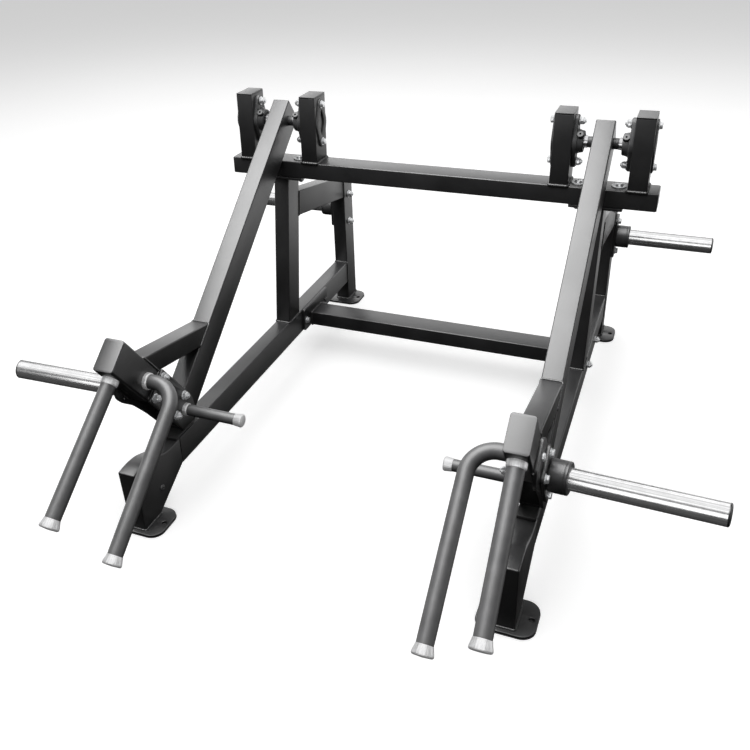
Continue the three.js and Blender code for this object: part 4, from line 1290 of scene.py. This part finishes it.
def softbox(name, at, target, size, radiance, lit):
    """Rectangular light of a given radiance that falls on the pieces of one collection."""
    data = bpy.data.lights.new(name, "AREA")
    data.shape = "RECTANGLE"
    data.size, data.size_y = size
    data.energy = radiance * pi * size[0] * size[1]
    lamp = bpy.data.objects.new(name, data)
    lamp.location = at
    lamp.rotation_mode = "QUATERNION"
    lamp.rotation_quaternion = (Vector(target) - Vector(at)).to_track_quat("-Z", "Y")
    link(lamp)
    lamp.light_linking.receiver_collection = lit


def build_world():
    """White to the camera. To everything else a dim dome, darker below and in front."""
    world = bpy.data.worlds.new("studio")
    bpy.context.scene.world = world
    world.use_nodes = True
    tree = world.node_tree
    background = tree.nodes["Background"]
    coordinates = tree.nodes.new("ShaderNodeTexCoord")
    split = tree.nodes.new("ShaderNodeSeparateXYZ")
    tree.links.new(coordinates.outputs["Generated"], split.inputs["Vector"])
    above = remap(tree, split.outputs["Z"], -0.05, 0.12)
    behind = remap(tree, split.outputs["Y"], -0.15, 0.35)
    far_floor = tree.nodes.new("ShaderNodeValToRGB")
    stops = ((0.35, DIM_FRONT), (0.5, 0.1), (0.6, 0.3), (0.72, 1.1), (1.0, 1.8))
    while len(far_floor.color_ramp.elements) < len(stops):
        far_floor.color_ramp.elements.new(0.5)
    for element, (position, level) in zip(far_floor.color_ramp.elements, stops):
        element.position = position
        element.color = (level, level, level, 1.0)
    tree.links.new(remap(tree, split.outputs["Z"], -1.0, 0.0), far_floor.inputs["Fac"])
    below = mix_colour(tree, behind, (DIM_FRONT,) * 3, far_floor.outputs["Color"])
    dome = mix_colour(tree, above, below, (DOME,) * 3)
    path = tree.nodes.new("ShaderNodeLightPath")
    seen = mix_colour(tree, path.outputs["Is Camera Ray"], dome, (1.0, 1.0, 1.0))
    tree.links.new(seen, background.inputs["Color"])
    background.inputs["Strength"].default_value = 1.0


def build_camera():
    data = bpy.data.cameras.new("camera")
    data.sensor_width = SENSOR
    data.lens = LENS
    data.shift_x, data.shift_y = LENS_SHIFT
    data.clip_end = 200.0
    camera = bpy.data.objects.new("camera", data)
    axes = (CAMERA_RIGHT, CAMERA_UP, CAMERA_RIGHT.cross(CAMERA_UP))
    rotation = Matrix(axes).transposed().to_4x4()
    camera.matrix_world = Matrix.Translation(place(*CAMERA_AT)) @ rotation
    link(camera)
    bpy.context.scene.camera = camera


build_floor()
build_world()
dark = bpy.data.collections.new("lit_dark_parts")
bright = bpy.data.collections.new("lit_bright_parts")
for piece in list(bpy.context.scene.objects):
    if piece.type != "MESH" or not piece.data.materials:
        continue
    shiny = piece.data.materials[0] in (ZINC, GROUND, CHROME, CAP_METAL, FLOOR)
    (bright if shiny else dark).objects.link(piece)
softbox("ceiling", (-1.0, -0.4, 4.6), (-0.3, -0.1, 0.5), (5.4, 4.6), 9.0, dark)
softbox("back_wall", (-1.6, 5.2, 2.0), (0.0, 0.0, 0.4), (6.0, 2.4), 1.7, dark)
softbox("tent_top", (0.0, 0.6, 3.4), (0.0, 0.2, 0.4), (8.0, 8.0), 1.1, bright)
softbox("tent_front", (0.4, -4.4, 1.3), (0.0, 0.0, 0.5), (6.5, 2.4), 1.7, bright)
build_camera()
bpy.context.scene.view_settings.view_transform = "Standard"
